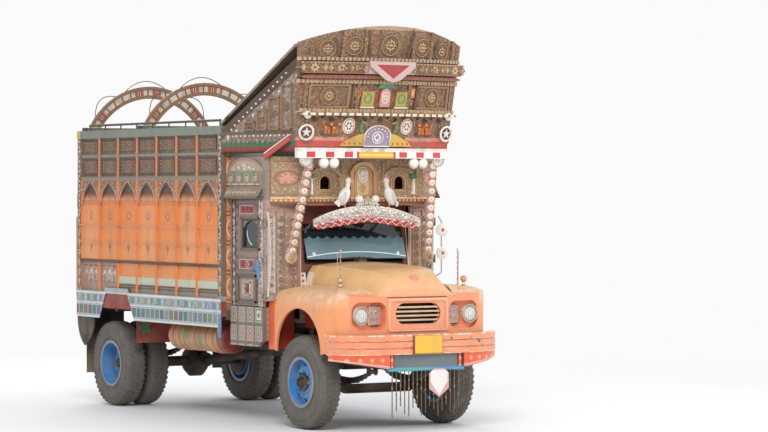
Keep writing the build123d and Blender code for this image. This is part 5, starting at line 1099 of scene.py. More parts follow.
def light_up():
    """Soft bluish light all round, a white sky where it is seen, and three round lamps."""
    world = bpy.data.worlds.new("Studio sky")
    bpy.context.scene.world = world
    world.use_nodes = True
    tree = world.node_tree
    tree.nodes.clear()
    rays = add_node(tree, "ShaderNodeLightPath").outputs
    seen = rays["Is Camera Ray"]
    for name in ("Is Transmission Ray", "Is Glossy Ray"):
        seen = add_node(tree, "ShaderNodeMath", {"operation": "MAXIMUM"},
                {0: seen, 1: rays[name]}).outputs[0]
    soft = add_node(tree, "ShaderNodeBackground", None, {0: (0.88, 0.93, 1.0, 1.0), 1: 0.62})
    plain_white = add_node(tree, "ShaderNodeBackground", None, {0: full_white, 1: backdrop})
    shaders = {0: seen, 1: soft.outputs[0], 2: plain_white.outputs[0]}
    blend = add_node(tree, "ShaderNodeMixShader", None, shaders)
    add_node(tree, "ShaderNodeOutputWorld", None, {0: blend.outputs[0]})
    for name, place, aim, size, power in (("Key light", (-9, -14, 12), (0, -1, 1.8), 8.0, 1900.0),
                                          ("Fill light", (12, -9, 7), (0, 0, 1.8), 9.0, 700.0),
                                          ("Back light", (3, 13, 10), (0, 1, 2.0), 8.0, 900.0)):
        lamp = bpy.data.lights.new(name, "AREA")
        lamp.shape = "DISK"
        lamp.size = size
        lamp.energy = power
        holder = bpy.data.objects.new(name, lamp)
        holder.location = place
        holder.rotation_euler = (Vector(aim) - Vector(place)).to_track_quat("-Z", "Y").to_euler()
        bpy.context.scene.collection.objects.link(holder)


def place_camera():
    """Long lens that looks at the truck's front right quarter."""
    lens = bpy.data.cameras.new("Camera")
    lens.sensor_width = 36.0
    lens.lens = 135.9375
    lens.clip_end = 400.0
    eye = bpy.data.objects.new("Camera", lens)
    eye.location = (-16.680, -29.1655, 2.579)
    turn = Vector((0.52559, 0.85069, -0.00859))
    eye.rotation_euler = turn.to_track_quat("-Z", "Y").to_euler()
    bpy.context.scene.collection.objects.link(eye)
    bpy.context.scene.camera = eye


lay_stage()
light_up()
place_camera()
bpy.context.scene.view_settings.view_transform = "Standard"


# Carved and turned ornament

class Face:
    """A surface of the truck on which ornament is set out by two distances and a height above it."""

    def __init__(self, spot):
        self.spot = spot

    def at(self, u, v, out=0.0):
        return Vector(self.spot(u, v, out))

    def normal(self, u, v):
        return (self.at(u, v, 0.01) - self.at(u, v, 0.0)).normalized()


crown = Face(lambda u, v, out: (u, crown_face(u, v) - out, v))
shelf = Face(lambda u, v, out: (u, crown_face(u, v) - 0.096 - out, v))
brow = Face(lambda u, v, out: (u, front_axle + 0.3 - out, v))
visor_face = Face(lambda u, v, out: (u, front_axle + 0.19 - out, v))


def side_face(side, distance):
    return Face(lambda u, v, out: (side * (distance + out), u, v))


def crown_side(side):
    """Side of the crown; relief gets lower towards the rear, where the side nears the body's full width."""
    def spot(u, v, out):
        base = crown_side_at(u) + 0.004
        low = min(1.0, (1.2185 - base) / 0.062)
        return side * (base + out * low), u - 0.2 * out, v
    return Face(spot)


def loop(heap, face, u, v, wide, tall, line, out=0.006, count=22, sides=5):
    """Oval bead round a point."""
    path = [face.at(u + wide * cos(turn), v + tall * sin(turn), out)
            for turn in (2 * pi * number / count for number in range(count))]
    heap.tube(path, line, sides, closed=True)


def spiral(heap, face, u, v, size, start, turns=1.3, line=0.006, flip=1, out=0.006, count=16):
    """Tendril that winds in towards a point."""
    path = []
    for number in range(count):
        share = number / (count - 1)
        radius = size * (1 - 0.86 * share)
        turn = start + flip * turns * 2 * pi * share
        path.append(face.at(u + radius * cos(turn), v + radius * sin(turn), out))
    heap.tube(path, line, 5)
    heap.ball(path[-1], line * 1.9, 6)


def stroke(heap, face, points, line, out=0.006, sides=5):
    heap.tube([face.at(u, v, out) for u, v in points], line, sides)


def bloom(heap, face, u, v, size, petals, thick=0.01, out=0.004, turn=0.0, long=0.34, wide=0.2):
    """Ring of raised petals."""
    normal = face.normal(u, v)
    across_axis = (face.at(u + 0.01, v) - face.at(u - 0.01, v)).normalized()
    up_axis = normal.cross(across_axis) * -1
    axes = Matrix((across_axis, up_axis, normal)).transposed()
    for number in range(petals):
        angle = turn + 2 * pi * number / petals
        reach = size * 0.62
        centre = face.at(u + reach * cos(angle), v + reach * sin(angle), out)
        heap.ball(centre, (size * long, size * wide, thick), 8, axes @ Matrix.Rotation(angle, 3, "Z"))


def boss(heap, face, u, v, size, thick, out=0.004, count=12):
    """Low round button."""
    normal = face.normal(u, v)
    heap.lathe(((0, size), (thick * 0.5, size * 0.96), (thick * 0.85, size * 0.7), (thick, size * 0.3)),
            face.at(u, v, out), normal, count)


def slab(heap, face, outline, thick=0.012, out=0.006):
    """Raised flat plate with an outline on a face."""
    centre_u = sum(u for u, v in outline) / len(outline)
    centre_v = sum(v for u, v in outline) / len(outline)
    points = [face.at(u, v, out) for u, v in outline]
    heap.plate(points, face.normal(centre_u, centre_v), thick)


def oblong(u, v, wide, tall):
    return ((u - wide, v - tall), (u + wide, v - tall), (u + wide, v + tall), (u - wide, v + tall))


def oval(u, v, wide, tall, count=20):
    return [(u + wide * cos(2 * pi * number / count), v + tall * sin(2 * pi * number / count))
            for number in range(count)]


def arch_outline(u, low, half, spring, top, count=10):
    points = [(u - half, low), (u + half, low)]
    for number in range(count + 1):
        turn = pi * number / count
        points.append((u + half * cos(turn), spring + (top - spring) * sin(turn)))
    return points


def border(heap, face, outline, line=0.006, out=0.008, sides=5):
    heap.tube([face.at(u, v, out) for u, v in outline], line, sides, closed=True)


def framed(heap, face, u, v, wide, tall, bar=0.012, thick=0.014):
    """Four square bars round a panel."""
    for shift in (-tall, tall):
        slab(heap, face, oblong(u, v + shift, wide + bar, bar), thick)
    for shift in (-wide, wide):
        slab(heap, face, oblong(u + shift, v, bar, tall + bar), thick)


def medallion(frame_heap, flower_heap, face, u, v, size, petals=8):
    """Ringed flower in high relief."""
    loop(frame_heap, face, u, v, size, size, size * 0.10, size * 0.09, 26)
    loop(frame_heap, face, u, v, size * 0.74, size * 0.74, size * 0.045, size * 0.05, 22)
    bloom(flower_heap, face, u, v, size * 0.68, petals, size * 0.16, size * 0.05)
    boss(flower_heap, face, u, v, size * 0.22, size * 0.26, 0.0)


def corner_scrolls(heap, face, u, v, wide, tall, size, line=0.006):
    for side_u in both:
        for side_v in both:
            spiral(heap, face, u + side_u * wide, v + side_v * tall, size, atan2(-side_v, -side_u), 1.2,
                   line, side_u * side_v)


wood = plain("Carved wood", "997759", 0.6, 0.0, 0.8, depth=0.003)
dark_wood = plain("Dark carved wood", "5C4334", 0.6, 0.0, 0.7, depth=0.003)
pale_wood = plain("Worn gilt wood", "C3A077", 0.5, 0.1, 0.6, depth=0.003)
white_enamel = plain("White enamel", "EDE7DD", 0.3, 0.0, 0.3, 0.4)
red_enamel = plain("Red enamel", "BE3A38", 0.32, 0.0, 0.4, 0.3)
green_enamel = plain("Green enamel", "3E8A58", 0.32, 0.0, 0.4, 0.3)
orange_enamel = plain("Orange enamel", "DC7A38", 0.35, 0.0, 0.4, 0.3)
yellow_enamel = plain("Yellow enamel", "D8AE45", 0.35, 0.0, 0.4, 0.3)
lime_enamel = plain("Lime enamel", "ABA93E", 0.35, 0.0, 0.4, 0.3)
lilac_enamel = plain("Lilac enamel", "A08AA6", 0.35, 0.1, 0.4, 0.3)
pink_enamel = plain("Pink enamel", "D49C94", 0.35, 0.0, 0.4, 0.3)
pressed_metal = plain("Pressed metal", "C9BFB6", 0.32, 0.7, 0.4)
dark_metal = plain("Dark bare metal", "4B4541", 0.5, 0.7, 0.6)
black_paint = plain("Black paint", "26221F", 0.5, 0.0, 0.4)
pale_lace = plain("Worn pale lace", "DCCFC4", 0.5, 0.0, 0.6)
door_white = plain("Worn door white", "D2C3B5", 0.5, 0.0, 0.6)
door_grey = plain("Grey carved frame", "6F625A", 0.55, 0.0, 0.6)
door_red = plain("Worn red", "9C4C46")
door_blue = plain("Blue enamel", "3C8FC8", 0.35, 0.0, 0.4, 0.3)


def make_crown_ornament():
    """Medallions, niches, frames and running scrolls on the carved boards."""
    frames, flowers, dark = heaps(3)
    # Top tier, between the stiles
    for u, v, size in ((0, 4.165, 0.108), (-0.435, 4.15, 0.094), (0.435, 4.15, 0.094),
                       (-0.73, 4.115, 0.088), (0.73, 4.115, 0.088)):
        medallion(frames, flowers, crown, u, v, size)
        corner_scrolls(frames, crown, u, v, size * 1.02, size * 0.98, 0.034)
    for u in (-0.97, 0.97):
        spiral(frames, crown, u, 4.10, 0.045, 0.6, 1.4, 0.008)
    for side in both:
        for lean_u, low, high in ((0.24, 4.04, 4.32), (0.60, 4.04, 4.24)):
            stroke(dark, crown, [(side * (lean_u + 0.06 * share), low + (high - low) * share)
                    for share in (0, 0.25, 0.5, 0.75, 1)], 0.014, 0.02)
    # Carved shelf: small round-headed niches with buttons, and a dentil row above and below
    for number in range(-13, 14):
        u = number * 0.078
        if abs(u) < 0.30:
            continue
        border(frames, shelf, arch_outline(u, 3.868, 0.026, 3.915, 3.945, 6), 0.0045)
        boss(flowers, shelf, u, 3.905, 0.013, 0.012, 0.0, 8)
    for number in range(-24, 25):
        u = number * 0.043
        if abs(u) > 0.30:
            slab(flowers, shelf, oblong(u, 3.966, 0.012, 0.008), 0.014)
        slab(flowers, crown, oblong(u * 0.93, 3.452, 0.013, 0.016), 0.07)
        slab(flowers, crown, oblong(u * 0.95, 3.768, 0.011, 0.014), 0.078)
    # Middle tier
    for u in (-0.66, 0.66):
        framed(frames, crown, u, 3.61, 0.225, 0.118, 0.012, 0.03)
        medallion(frames, flowers, crown, u, 3.61, 0.092, 9)
        corner_scrolls(frames, crown, u, 3.61, 0.165, 0.07, 0.034)
    for u in (-0.26, 0.26):
        bloom(flowers, crown, u * 1.02, 3.70, 0.03, 6, 0.008)
    # Lower tier ground: running scrolls
    for number in range(-9, 10):
        u = number * 0.1
        flip = swing(number)
        spiral(dark, crown, u, 3.375 + 0.012 * flip, 0.034, 0.0, 1.3, 0.006, flip)
        if abs(u) > 0.72:
            spiral(frames, crown, u, 3.24, 0.046, 1.0, 1.4, 0.007, flip)
    frames.make("Crown frames", wood)
    flowers.make("Crown flowers", pale_wood)
    dark.make("Crown dark scrolls", dark_wood)


def make_crown_centre():
    """Painted panels, medallions, birds and figures in the middle of the crown."""
    lime, pink, green, orange, white, yellow, lilac, red, dark = heaps(9)
    for u in (-0.20, 0.235):
        slab(lime, crown, oblong(u, 3.585, 0.072, 0.078), 0.03)
        border(orange, crown, oblong(u, 3.585, 0.078, 0.084), 0.007, 0.018)
        slab(white, crown, oblong(u, 3.492, 0.085, 0.008), 0.05)
        loop(green, crown, u, 3.59, 0.04, 0.05, 0.006, 0.022)
    slab(pink, crown, arch_outline(0.02, 3.50, 0.062, 3.64, 3.70), 0.03)
    loop(white, crown, 0.02, 3.60, 0.042, 0.06, 0.006, 0.022)
    bloom(white, crown, 0.02, 3.60, 0.034, 7, 0.008, 0.02)
    border(red, crown, arch_outline(0.02, 3.50, 0.07, 3.645, 3.712), 0.007, 0.018)
    slab(green, crown, ((-0.10, 3.70), (0.14, 3.70), (0.115, 3.735), (0.02, 3.765), (-0.075, 3.735)),
         0.05)
    for u in (-0.33, 0.37):
        slab(orange, crown, oblong(u, 3.655, 0.036, 0.05), 0.025)
        bloom(white, crown, u, 3.655, 0.026, 6, 0.006, 0.018)
        slab(dark, crown, oblong(u * 1.16, 3.61, 0.012, 0.13), 0.04)
        spiral(pink, crown, u, 3.545, 0.034, 0.5, 1.2, 0.007)
    # Lower tier
    middle = -0.02
    foot = 3.07
    star_z = 3.215
    slab(lilac, crown, arch_outline(middle, foot, 0.155, 3.18, 3.285, 12), 0.05)
    border(white, crown, arch_outline(middle, foot, 0.163, 3.183, 3.295, 12), 0.008, 0.034)
    loop(white, crown, middle, 3.165, 0.07, 0.062, 0.006, 0.034)
    bloom(white, crown, middle, 3.165, 0.055, 9, 0.008, 0.03)
    for number in range(9):
        boss(white, crown, middle + 0.125 * cos(pi * number / 8), 3.175 + 0.085 * sin(pi * number / 8),
             0.009, 0.012, 0.03, 8)
    for side in both:
        inner = middle + side * 0.17
        outer = middle + side * 0.46
        slab(yellow, crown, ((inner, foot), (outer, foot), (outer - side * 0.04, 3.115),
                (inner + side * 0.09, 3.19), (inner, 3.215)), 0.045)
        for number in range(4):
            boss(red, crown, inner + side * (0.04 + 0.065 * number), 3.10, 0.012, 0.01, 0.028, 8)
        u = middle + side * 0.37
        slab(white, crown, oval(u, 3.29, 0.075, 0.088), 0.03)
        loop(pink, crown, u, 3.29, 0.06, 0.072, 0.007, 0.02)
        bloom(dark, crown, u, 3.29, 0.05, 6, 0.007, 0.02)
        # Green bird's head and neck
        head = middle + side * 0.20
        stroke(green, crown, [(head + side * 0.01, 3.22), (head + side * 0.03, 3.27),
                (head + side * 0.02, 3.315)], 0.017, 0.03, 8)
        green.ball(crown.at(head + side * 0.016, 3.33, 0.035), (0.026, 0.026, 0.022), 10)
        stroke(yellow, crown, [(head, 3.328), (head - side * 0.035, 3.318)], 0.007, 0.04)
        stroke(red, crown, [(head + side * 0.02, 3.352), (head + side * 0.028, 3.372)], 0.006, 0.035)
        # Standing pair of orange beasts
        for number in range(2):
            body_u = side * 0.60 + (number - 0.5) * 0.095
            orange.ball(crown.at(body_u, 3.265, 0.03), (0.04, 0.02, 0.024), 10)
            orange.ball(crown.at(body_u - side * 0.038, 3.305, 0.035), 0.021, 10)
            stroke(orange, crown, [(body_u + side * 0.036, 3.275), (body_u + side * 0.052, 3.31),
                    (body_u + side * 0.042, 3.335)], 0.006, 0.03)
            for leg in (-0.026, -0.01, 0.012, 0.028):
                stroke(orange, crown, [(body_u + leg, 3.26), (body_u + leg * 1.15, 3.205)], 0.008, 0.03)
            for stripe in (-0.016, 0.0, 0.016):
                stroke(dark, crown, [(body_u + stripe, 3.286), (body_u + stripe, 3.25)], 0.0035, 0.049)
        slab(dark, crown, oblong(side * 0.60, 3.198, 0.11, 0.008), 0.06)
        # Ring with a star at the outer corner
        place = side * 0.90
        loop(white, crown, place, star_z, 0.078, 0.078, 0.013, 0.05, 26, 8)
        star = []
        for number in range(10):
            reach = 0.056 if number % 2 == 0 else 0.023
            turn = pi / 2 + pi * number / 5
            star.append((place + reach * cos(turn), star_z + reach * sin(turn)))
        slab(white, crown, star, 0.014, 0.05)
        slab(dark, crown, oval(place, star_z, 0.07, 0.07), 0.01, 0.03)
        boss(white, crown, side * 0.905, 3.405, 0.045, 0.03, 0.05, 18)
    slab(green, crown, oblong(-0.80, 3.812, 0.075, 0.018), 0.07)
    lime.make("Lime panels", lime_enamel)
    pink.make("Pink panels", pink_enamel)
    green.make("Green ornament", green_enamel)
    orange.make("Orange figures", orange_enamel)
    white.make("White ornament", white_enamel)
    yellow.make("Yellow panels", yellow_enamel)
    lilac.make("Lilac arch", lilac_enamel)
    red.make("Red studs", red_enamel)
    dark.make("Dark ornament", dark_wood)


def make_crown_side_ornament():
    """Sunk panels with scrolls, a row of white studs, and the red board along the foot."""
    frames, studs, red, white = heaps(4)
    for side in both:
        face = crown_side(side)
        rise = 0.66
        for number in range(14):
            u = -0.89 - number * 0.07
            boss(studs, face, u, 3.255 + (-0.70 - u) * rise - 0.12, 0.012, 0.012, 0.04, 8)
            boss(studs, face, u, 3.185, 0.010, 0.010, 0.012, 8)
        for number in range(5):
            u = -0.97 - number * 0.20
            top = 3.255 + (-0.70 - u) * rise - 0.21
            low = 3.235
            if top - low > 0.09:
                middle = (top + low) / 2
                framed(frames, face, u, middle, 0.075, (top - low) / 2 - 0.02, 0.007, 0.03)
                spiral(frames, face, u - 0.022, middle, 0.036, 0.4, 1.3, 0.006, 1, 0.01)
                spiral(frames, face, u + 0.022, middle, 0.036, 3.6, 1.3, 0.006, 1, 0.01)
        for number in range(11):
            u = -0.88 - number * 0.095
            spiral(frames, face, u, 3.145, 0.026, 0.0, 1.2, 0.005, 1, 0.035)
        slab(red, face, ((-1.46, 2.925), (-1.87, 3.125), (-1.87, 3.185), (-1.46, 2.985)), 0.02, 0.05)
        slab(white, face, ((-1.46, 2.985), (-1.87, 3.185), (-1.87, 3.197), (-1.46, 2.997)), 0.026, 0.05)
    frames.make("Crown side frames", wood)
    studs.make("Crown side studs", white_enamel)
    red.make("Red slanting boards", red_enamel)
    white.make("White board edges", white_enamel)


make_crown_ornament()
make_crown_centre()
make_crown_side_ornament()


# Forehead, visor, garlands

def make_forehead_ornament():
    """Arch rims, window rims, beaded columns, vases and a dentil row."""
    frames, white, green, dark = heaps(4)
    border(frames, brow, arch_outline(0, 2.51, 0.104, 2.78, 2.855, 12), 0.007, 0.016)
    border(frames, brow, arch_outline(0, 2.53, 0.082, 2.77, 2.83, 12), 0.004, 0.014)
    loop(white, brow, 0, 2.735, 0.05, 0.062, 0.009, 0.014)
    bloom(white, brow, 0, 2.735, 0.042, 8, 0.008, 0.012)
    bloom(frames, brow, 0, 2.61, 0.05, 8, 0.008, 0.010)
    for side in both:
        u = side * 0.48
        border(frames, brow, arch_outline(u, 2.575, 0.074, 2.68, 2.756, 10), 0.008, 0.006)
        border(frames, brow, arch_outline(u, 2.55, 0.11, 2.68, 2.79, 10), 0.006, 0.006)
        spiral(frames, brow, u - 0.10, 2.825, 0.03, 0.0, 1.3, 0.005, 1, 0.008)
        spiral(frames, brow, u + 0.10, 2.825, 0.03, pi, 1.3, 0.005, -1, 0.008)
        for place in (u - side * 0.215, u + side * 0.225):
            stroke(frames, brow, [(place, 2.52), (place, 2.90)], 0.012, 0.006)
            for number in range(9):
                boss(frames, brow, place, 2.545 + number * 0.042, 0.015, 0.016, 0.012, 8)
        # Vase with leaves
        vase = side * 0.66
        place = brow.at(vase, 2.545, 0.022)
        white.lathe(((0, 0.028), (0.012, 0.016), (0.03, 0.013), (0.10, 0.016), (0.15, 0.010),
                (0.17, 0.02)), place, (0, 0, 1), 12)
        for number in range(5):
            turn = pi * (0.1 + 0.2 * number)
            stroke(green, brow, [(vase, 2.71), (vase + 0.032 * cos(turn), 2.73 + 0.028 * sin(turn)),
                    (vase + 0.062 * cos(turn), 2.725 + 0.05 * sin(turn))], 0.007, 0.022)
    for number in range(-31, 32):
        u = number * 0.0255
        slab(dark if number % 2 else frames, Face(lambda a, b, out: (a, front_axle + 0.26 - out, b)),
             oblong(u, 2.477, 0.008, 0.013), 0.008, 0.002)
    frames.make("Forehead frames", pale_wood)
    white.make("Forehead vases", white_enamel)
    green.make("Forehead leaves", green_enamel)
    dark.make("Forehead dentils", dark_wood)


def make_birds():
    """A pair of white birds that stand on the visor, with two white knobs between them."""
    white, pink, dark, grey = heaps(4)
    for side in both:
        u = side * 0.285
        y = front_axle + 0.197
        base = Vector((u, y, 2.402))
        lean = Matrix.Rotation(side * radians(-28), 3, "Y")
        white.ball(base + Vector((side * 0.014, 0, 0.120)), (0.066, 0.050, 0.112), 18, lean)
        grey.ball(base + Vector((side * 0.034, -0.026, 0.108)), (0.036, 0.030, 0.085), 14, lean)
        white.tube([base + Vector((-side * 0.014, 0, 0.18)), base + Vector((-side * 0.036, 0, 0.235)),
                base + Vector((-side * 0.04, 0, 0.272))], 0.025, 8)
        white.ball(base + Vector((-side * 0.041, 0, 0.292)), 0.034, 12)
        for number in range(4):
            white.tube([base + Vector((side * 0.046, -0.015 + 0.01 * number, 0.10)),
                    base + Vector((side * (0.095 + 0.01 * number), -0.015 + 0.01 * number,
                    0.008 + 0.012 * number))], 0.013, 6)
        pink.ball(base + Vector((-side * 0.042, 0, 0.322)), (0.026, 0.018, 0.014), 8)
        pink.tube([base + Vector((-side * 0.068, 0, 0.288)), base + Vector((-side * 0.098, 0, 0.276))],
                0.008, 6)
        pink.tube([base + Vector((0, 0, 0.05)), base + Vector((0, 0, -0.01))], 0.007, 6)
        for eye in both:
            dark.ball(base + Vector((-side * 0.048, eye * 0.030, 0.296)), 0.006, 6)
        knob = Vector((side * 0.105, front_axle + 0.197, 2.49))
        white.ball(knob, 0.046, 14)
        dark.tube([knob - Vector((0, 0, 0.09)), knob], 0.008, 6)
    white.make("White birds", white_enamel)
    grey.make("Bird wings", plain("Pale grey enamel", "CFC9C2", 0.4, 0.0, 0.5))
    pink.make("Pink combs", pink_enamel)
    dark.make("Dark knob stems", dark_metal)


def visor_edge(u):
    """Height of the visor's scalloped lower edge."""
    reach = abs(u)
    if reach < 0.63:
        return 2.245 - 0.085 * reach / 0.63
    return 2.16 + (reach - 0.63) / 0.06 * 0.04


def visor_top(u):
    half, rise = 0.69, 0.15
    radius = (half * half + rise * rise) / (2 * rise)
    return 2.42 - radius + sqrt(radius * radius - u * u)


def make_visor_ornament():
    """Scrolls and studs on the sheet, with a zigzag along its lower edge."""
    scrolls, white, red = heaps(3)
    for number in range(-7, 8):
        u = number * 0.09
        middle = (visor_edge(u) + visor_top(u)) / 2 + 0.01
        size = min((visor_top(u) - visor_edge(u)) * 0.3, 0.042)
        spiral(scrolls, visor_face, u, middle, size, 0.5 * pi, 1.4, 0.0045, swing(number), 0.004)
        boss(scrolls, visor_face, u + 0.045, middle + 0.03, 0.010, 0.010, 0.0, 8)
        boss(scrolls, visor_face, u + 0.045, middle - 0.028, 0.010, 0.010, 0.0, 8)
    for number in range(-16, 17):
        u = number * 0.041
        boss(white, visor_face, u, visor_top(u) - 0.014, 0.012, 0.012, 0.0, 8)
    path = []
    for number in range(-12, 13):
        u = number * 0.052
        drop = 0.03 if number % 2 else -0.012
        path.append((u, visor_edge(u) + 0.03 - drop))
    stroke(white, visor_face, path, 0.0055, 0.007)
    stroke(red, visor_face, [(u, v + 0.02) for u, v in path], 0.004, 0.006)
    scrolls.make("Visor scrolls", pressed_metal)
    white.make("Visor edging", white_enamel)
    red.make("Visor red line", red_enamel)


def make_garland_discs():
    """Rows of cream discs with beads, ending in a scroll."""
    discs, rings, scrolls = heaps(3)
    for side in both:
        top = Vector((side * 0.8, front_axle + 0.116, 2.86))
        low = Vector((side * 0.88, front_axle + 0.34, 1.93))
        for number in range(11):
            centre = top + (low - top) * number / 10 + Vector((0, -0.0165, 0))
            discs.lathe(((0, 0.040), (0.010, 0.036), (0.016, 0.024), (0.018, 0.008)), centre, (0, -1, 0),
                    18)
            rings.tube(upright_ring(centre + Vector((0, -0.003, 0)), 0.047, 22), 0.006, 6, closed=True)
            rings.ball(centre + Vector((0, -0.018, 0)), 0.009, 8)
            if number < 10:
                gap = (low - top) / 20
                for edge in (-0.045, 0.045):
                    rings.ball(centre + gap + Vector((edge, -0.004, 0)), 0.013, 8)
        foot = low + Vector((side * 0.01, -0.026, -0.075))
        face = Face(lambda u, v, out: (u, foot.y - out, v))
        spiral(scrolls, face, foot.x, foot.z, 0.062, pi / 2, 1.6, 0.011, side, 0.004, 22)
        spiral(scrolls, face, foot.x, foot.z, 0.034, -pi / 2, 1.1, 0.008, side, 0.016, 16)
    discs.make("Garland discs", plain("Cream enamel", "E9DACD", 0.32, 0.0, 0.4, 0.3))
    rings.make("Garland rings", plain("Rose gilt", "CF9F88", 0.4, 0.2, 0.5))
    scrolls.make("Garland scrolls", pale_wood)


def make_half_discs():
    """Scalloped rims and rays on the half discs and round lamps under the crown's rail."""
    lines, lamps = heaps(2)
    for side in both:
        u = side * 0.85
        face = Face(lambda a, b, out: (a, crown_face(u, crown_foot) + 0.004 - out, b))
        stroke(lines, face, [(u - 0.078 + 0.156 * step / 12,
                rail_low + 0.008 - 0.095 * sqrt(max(0.0, 1 - ((step - 6) / 6.0) ** 2)))
                for step in range(13)], 0.006)
        for number in range(1, 6):
            turn = pi * (1 + number / 6)
            stroke(lines, face, [(u + 0.02 * cos(turn), rail_low + 0.02 * sin(turn)),
                    (u + 0.066 * cos(turn), rail_low + 0.078 * sin(turn))], 0.003)
        for lamp_u in (side * 0.514, side * 0.638):
            centre = Vector((lamp_u, crown_face(lamp_u, crown_foot) + 0.014, 2.8877))
            lamps.tube(upright_ring(centre, 0.057, 26), 0.008, 6, closed=True)
            lamps.tube([centre + Vector((0, 0, 0.03)), centre + Vector((0, 0, 0.06))], 0.014, 8)
    lines.make("Half disc lines", pressed_metal)
    lamps.make("Lamp rims", pressed_metal)


make_forehead_ornament()
make_birds()
make_visor_ornament()
make_garland_discs()
make_half_discs()


# Front end

recess_y = front_axle - 0.754
lamp_level = 1.25
mirror_x = 1.138
upward = (0, 0, 1)
forward = (0, -1, 0)


def add_wing_lamp(side, amber, bright, red):
    """Amber ball in a bright band on its stalk, and the striped rod beside it."""
    lamp = Vector((side * 0.79, front_axle - 0.54, 1.617))
    amber.ball(lamp, (0.0365, 0.0365, 0.038), 18)
    bright.lathe(((0, 0.0372), (0.006, 0.0385), (0.012, 0.0372)), lamp - Vector((0, 0, 0.006)), upward,
            18)
    bright.lathe(((0, 0.02), (0.03, 0.013)), lamp - Vector((0, 0, 0.055)), upward, 12)
    foot = Vector((side * 0.748, front_axle - 0.48, 1.556))
    bright.tube([foot + Vector((side * 0.022, 0.02, 0)), foot + Vector((side * 0.026, 0.02, 0.36))],
            0.004, 6)
    bright.ball(foot + Vector((0, 0, 0.385)), 0.009, 8)
    for step in range(6):
        red.lathe(((0, 0.0062), (0.018, 0.0062)), foot + Vector((0, 0, 0.05 + 0.06 * step)), upward, 8)


def add_headlamp(side, bright):
    """Two bright rims and the ribs of the glass."""
    middle = Vector((side * 0.69, recess_y - 0.062, lamp_level))
    for radius, line in ((0.093, 0.009), (0.074, 0.005)):
        bright.tube(upright_ring(middle, radius, 30), line, 6, closed=True)
    for number in range(-2, 3):
        shift = number * 0.024
        reach = sqrt(0.07 ** 2 - shift ** 2)
        bright.tube([middle + Vector((shift, -0.008, end * reach)) for end in both], 0.002, 4)


def add_lamp_plate(side, pink, bright, dark):
    """Pierced ornamental plate beside a headlamp."""
    face = Face(lambda u, v, out: (u, recess_y - 0.006 - out, v))
    centre = side * 0.50
    outline = oblong(centre, lamp_level, 0.074, 0.098)
    slab(pink, face, outline, 0.012)
    border(bright, face, outline, 0.005, 0.012)
    for step in range(7):
        for edge in (0.06, -0.06):
            boss(bright, face, centre + edge, 1.17 + 0.027 * step, 0.007, 0.008, 0.006, 7)
    bloom(bright, face, centre, lamp_level, 0.034, 7, 0.008, 0.008)
    for number in both:
        for v, start in ((1.285, 0.0), (1.215, pi)):
            spiral(bright, face, centre + number * 0.026, v, 0.024, start, 1.3, 0.004, number, 0.014)
    bloom(pink, face, centre, 1.35, 0.036, 7, 0.008, 0.004)
    slab(dark, face, oblong(centre, 1.142, 0.045, 0.009), 0.02)


def add_small_fittings(dark):
    """Wiper, bumper bolts and the fitting on the bumper's left half."""
    dark.tube([(-0.30, front_axle + 0.405, 1.828), (-0.05, front_axle + 0.402, 1.842),
            (0.20, front_axle + 0.405, 1.836)], 0.007, 6)
    dark.tube([(0.06, front_axle + 0.39, 1.812), (0.02, front_axle + 0.398, 1.85)], 0.009, 6)
    for u in (-0.86, -0.62, 0.30, 0.56, 0.84):
        back = 0.29 * max(0.0, (abs(u) - 0.52) / 0.54) ** 1.6
        dark.lathe(((0, 0.014), (0.005, 0.012), (0.008, 0.005)), (u, front_axle - 1.0455 + back, 1.005),
                forward, 10)
    fitting = Vector((0.66, front_axle - 1.0, 0.965))
    dark.lathe(((0, 0.045), (0.02, 0.045), (0.026, 0.03), (0.036, 0.012)), fitting, forward, 14)
    dark.tube([fitting + Vector((-0.10, -0.012, 0.02)), fitting + Vector((0, -0.02, 0)),
            fitting + Vector((0.06, -0.01, -0.05))], 0.01, 6)


def add_mirror(bright, pale, red):
    """Mirror arm on the left with two pale discs."""
    for level in (1.88, 2.14):
        centre = Vector((mirror_x, front_axle + 0.44, level))
        pale.lathe(((0, 0.075), (0.012, 0.075), (0.018, 0.055), (0.02, 0.02)), centre, forward, 20)
        red.lathe(((0.0195, 0.022), (0.024, 0.012)), centre, forward, 12)
    low = (mirror_x, front_axle + 0.45, 1.66)
    bright.tube([low, (mirror_x, front_axle + 0.45, 2.24), (1.11, front_axle + 0.48, 2.30)], 0.008, 6)
    bright.tube([low, (1.10, front_axle + 0.50, 1.62)], 0.008, 6)


def make_front_details():
    """Lamps, lamp plates, mirror and small fittings of the front end."""
    amber, bright, dark, pink, red, pale = heaps(6)
    for side in both:
        add_wing_lamp(side, amber, bright, red)
        add_headlamp(side, bright)
        add_lamp_plate(side, pink, bright, dark)
    add_small_fittings(dark)
    add_mirror(bright, pale, red)
    amber.make("Amber lamps", plain("Amber glass", "E08A2C", 0.15, 0.0, 0.2, 0.7))
    bright.make("Bright fittings", pressed_metal)
    dark.make("Dark fittings", dark_metal)
    pink.make("Pierced lamp plates", plain("Rose plate", "CBA095", 0.4, 0.3, 0.6))
    red.make("Red bands", red_enamel)
    pale.make("Pale mirror discs", white_enamel)


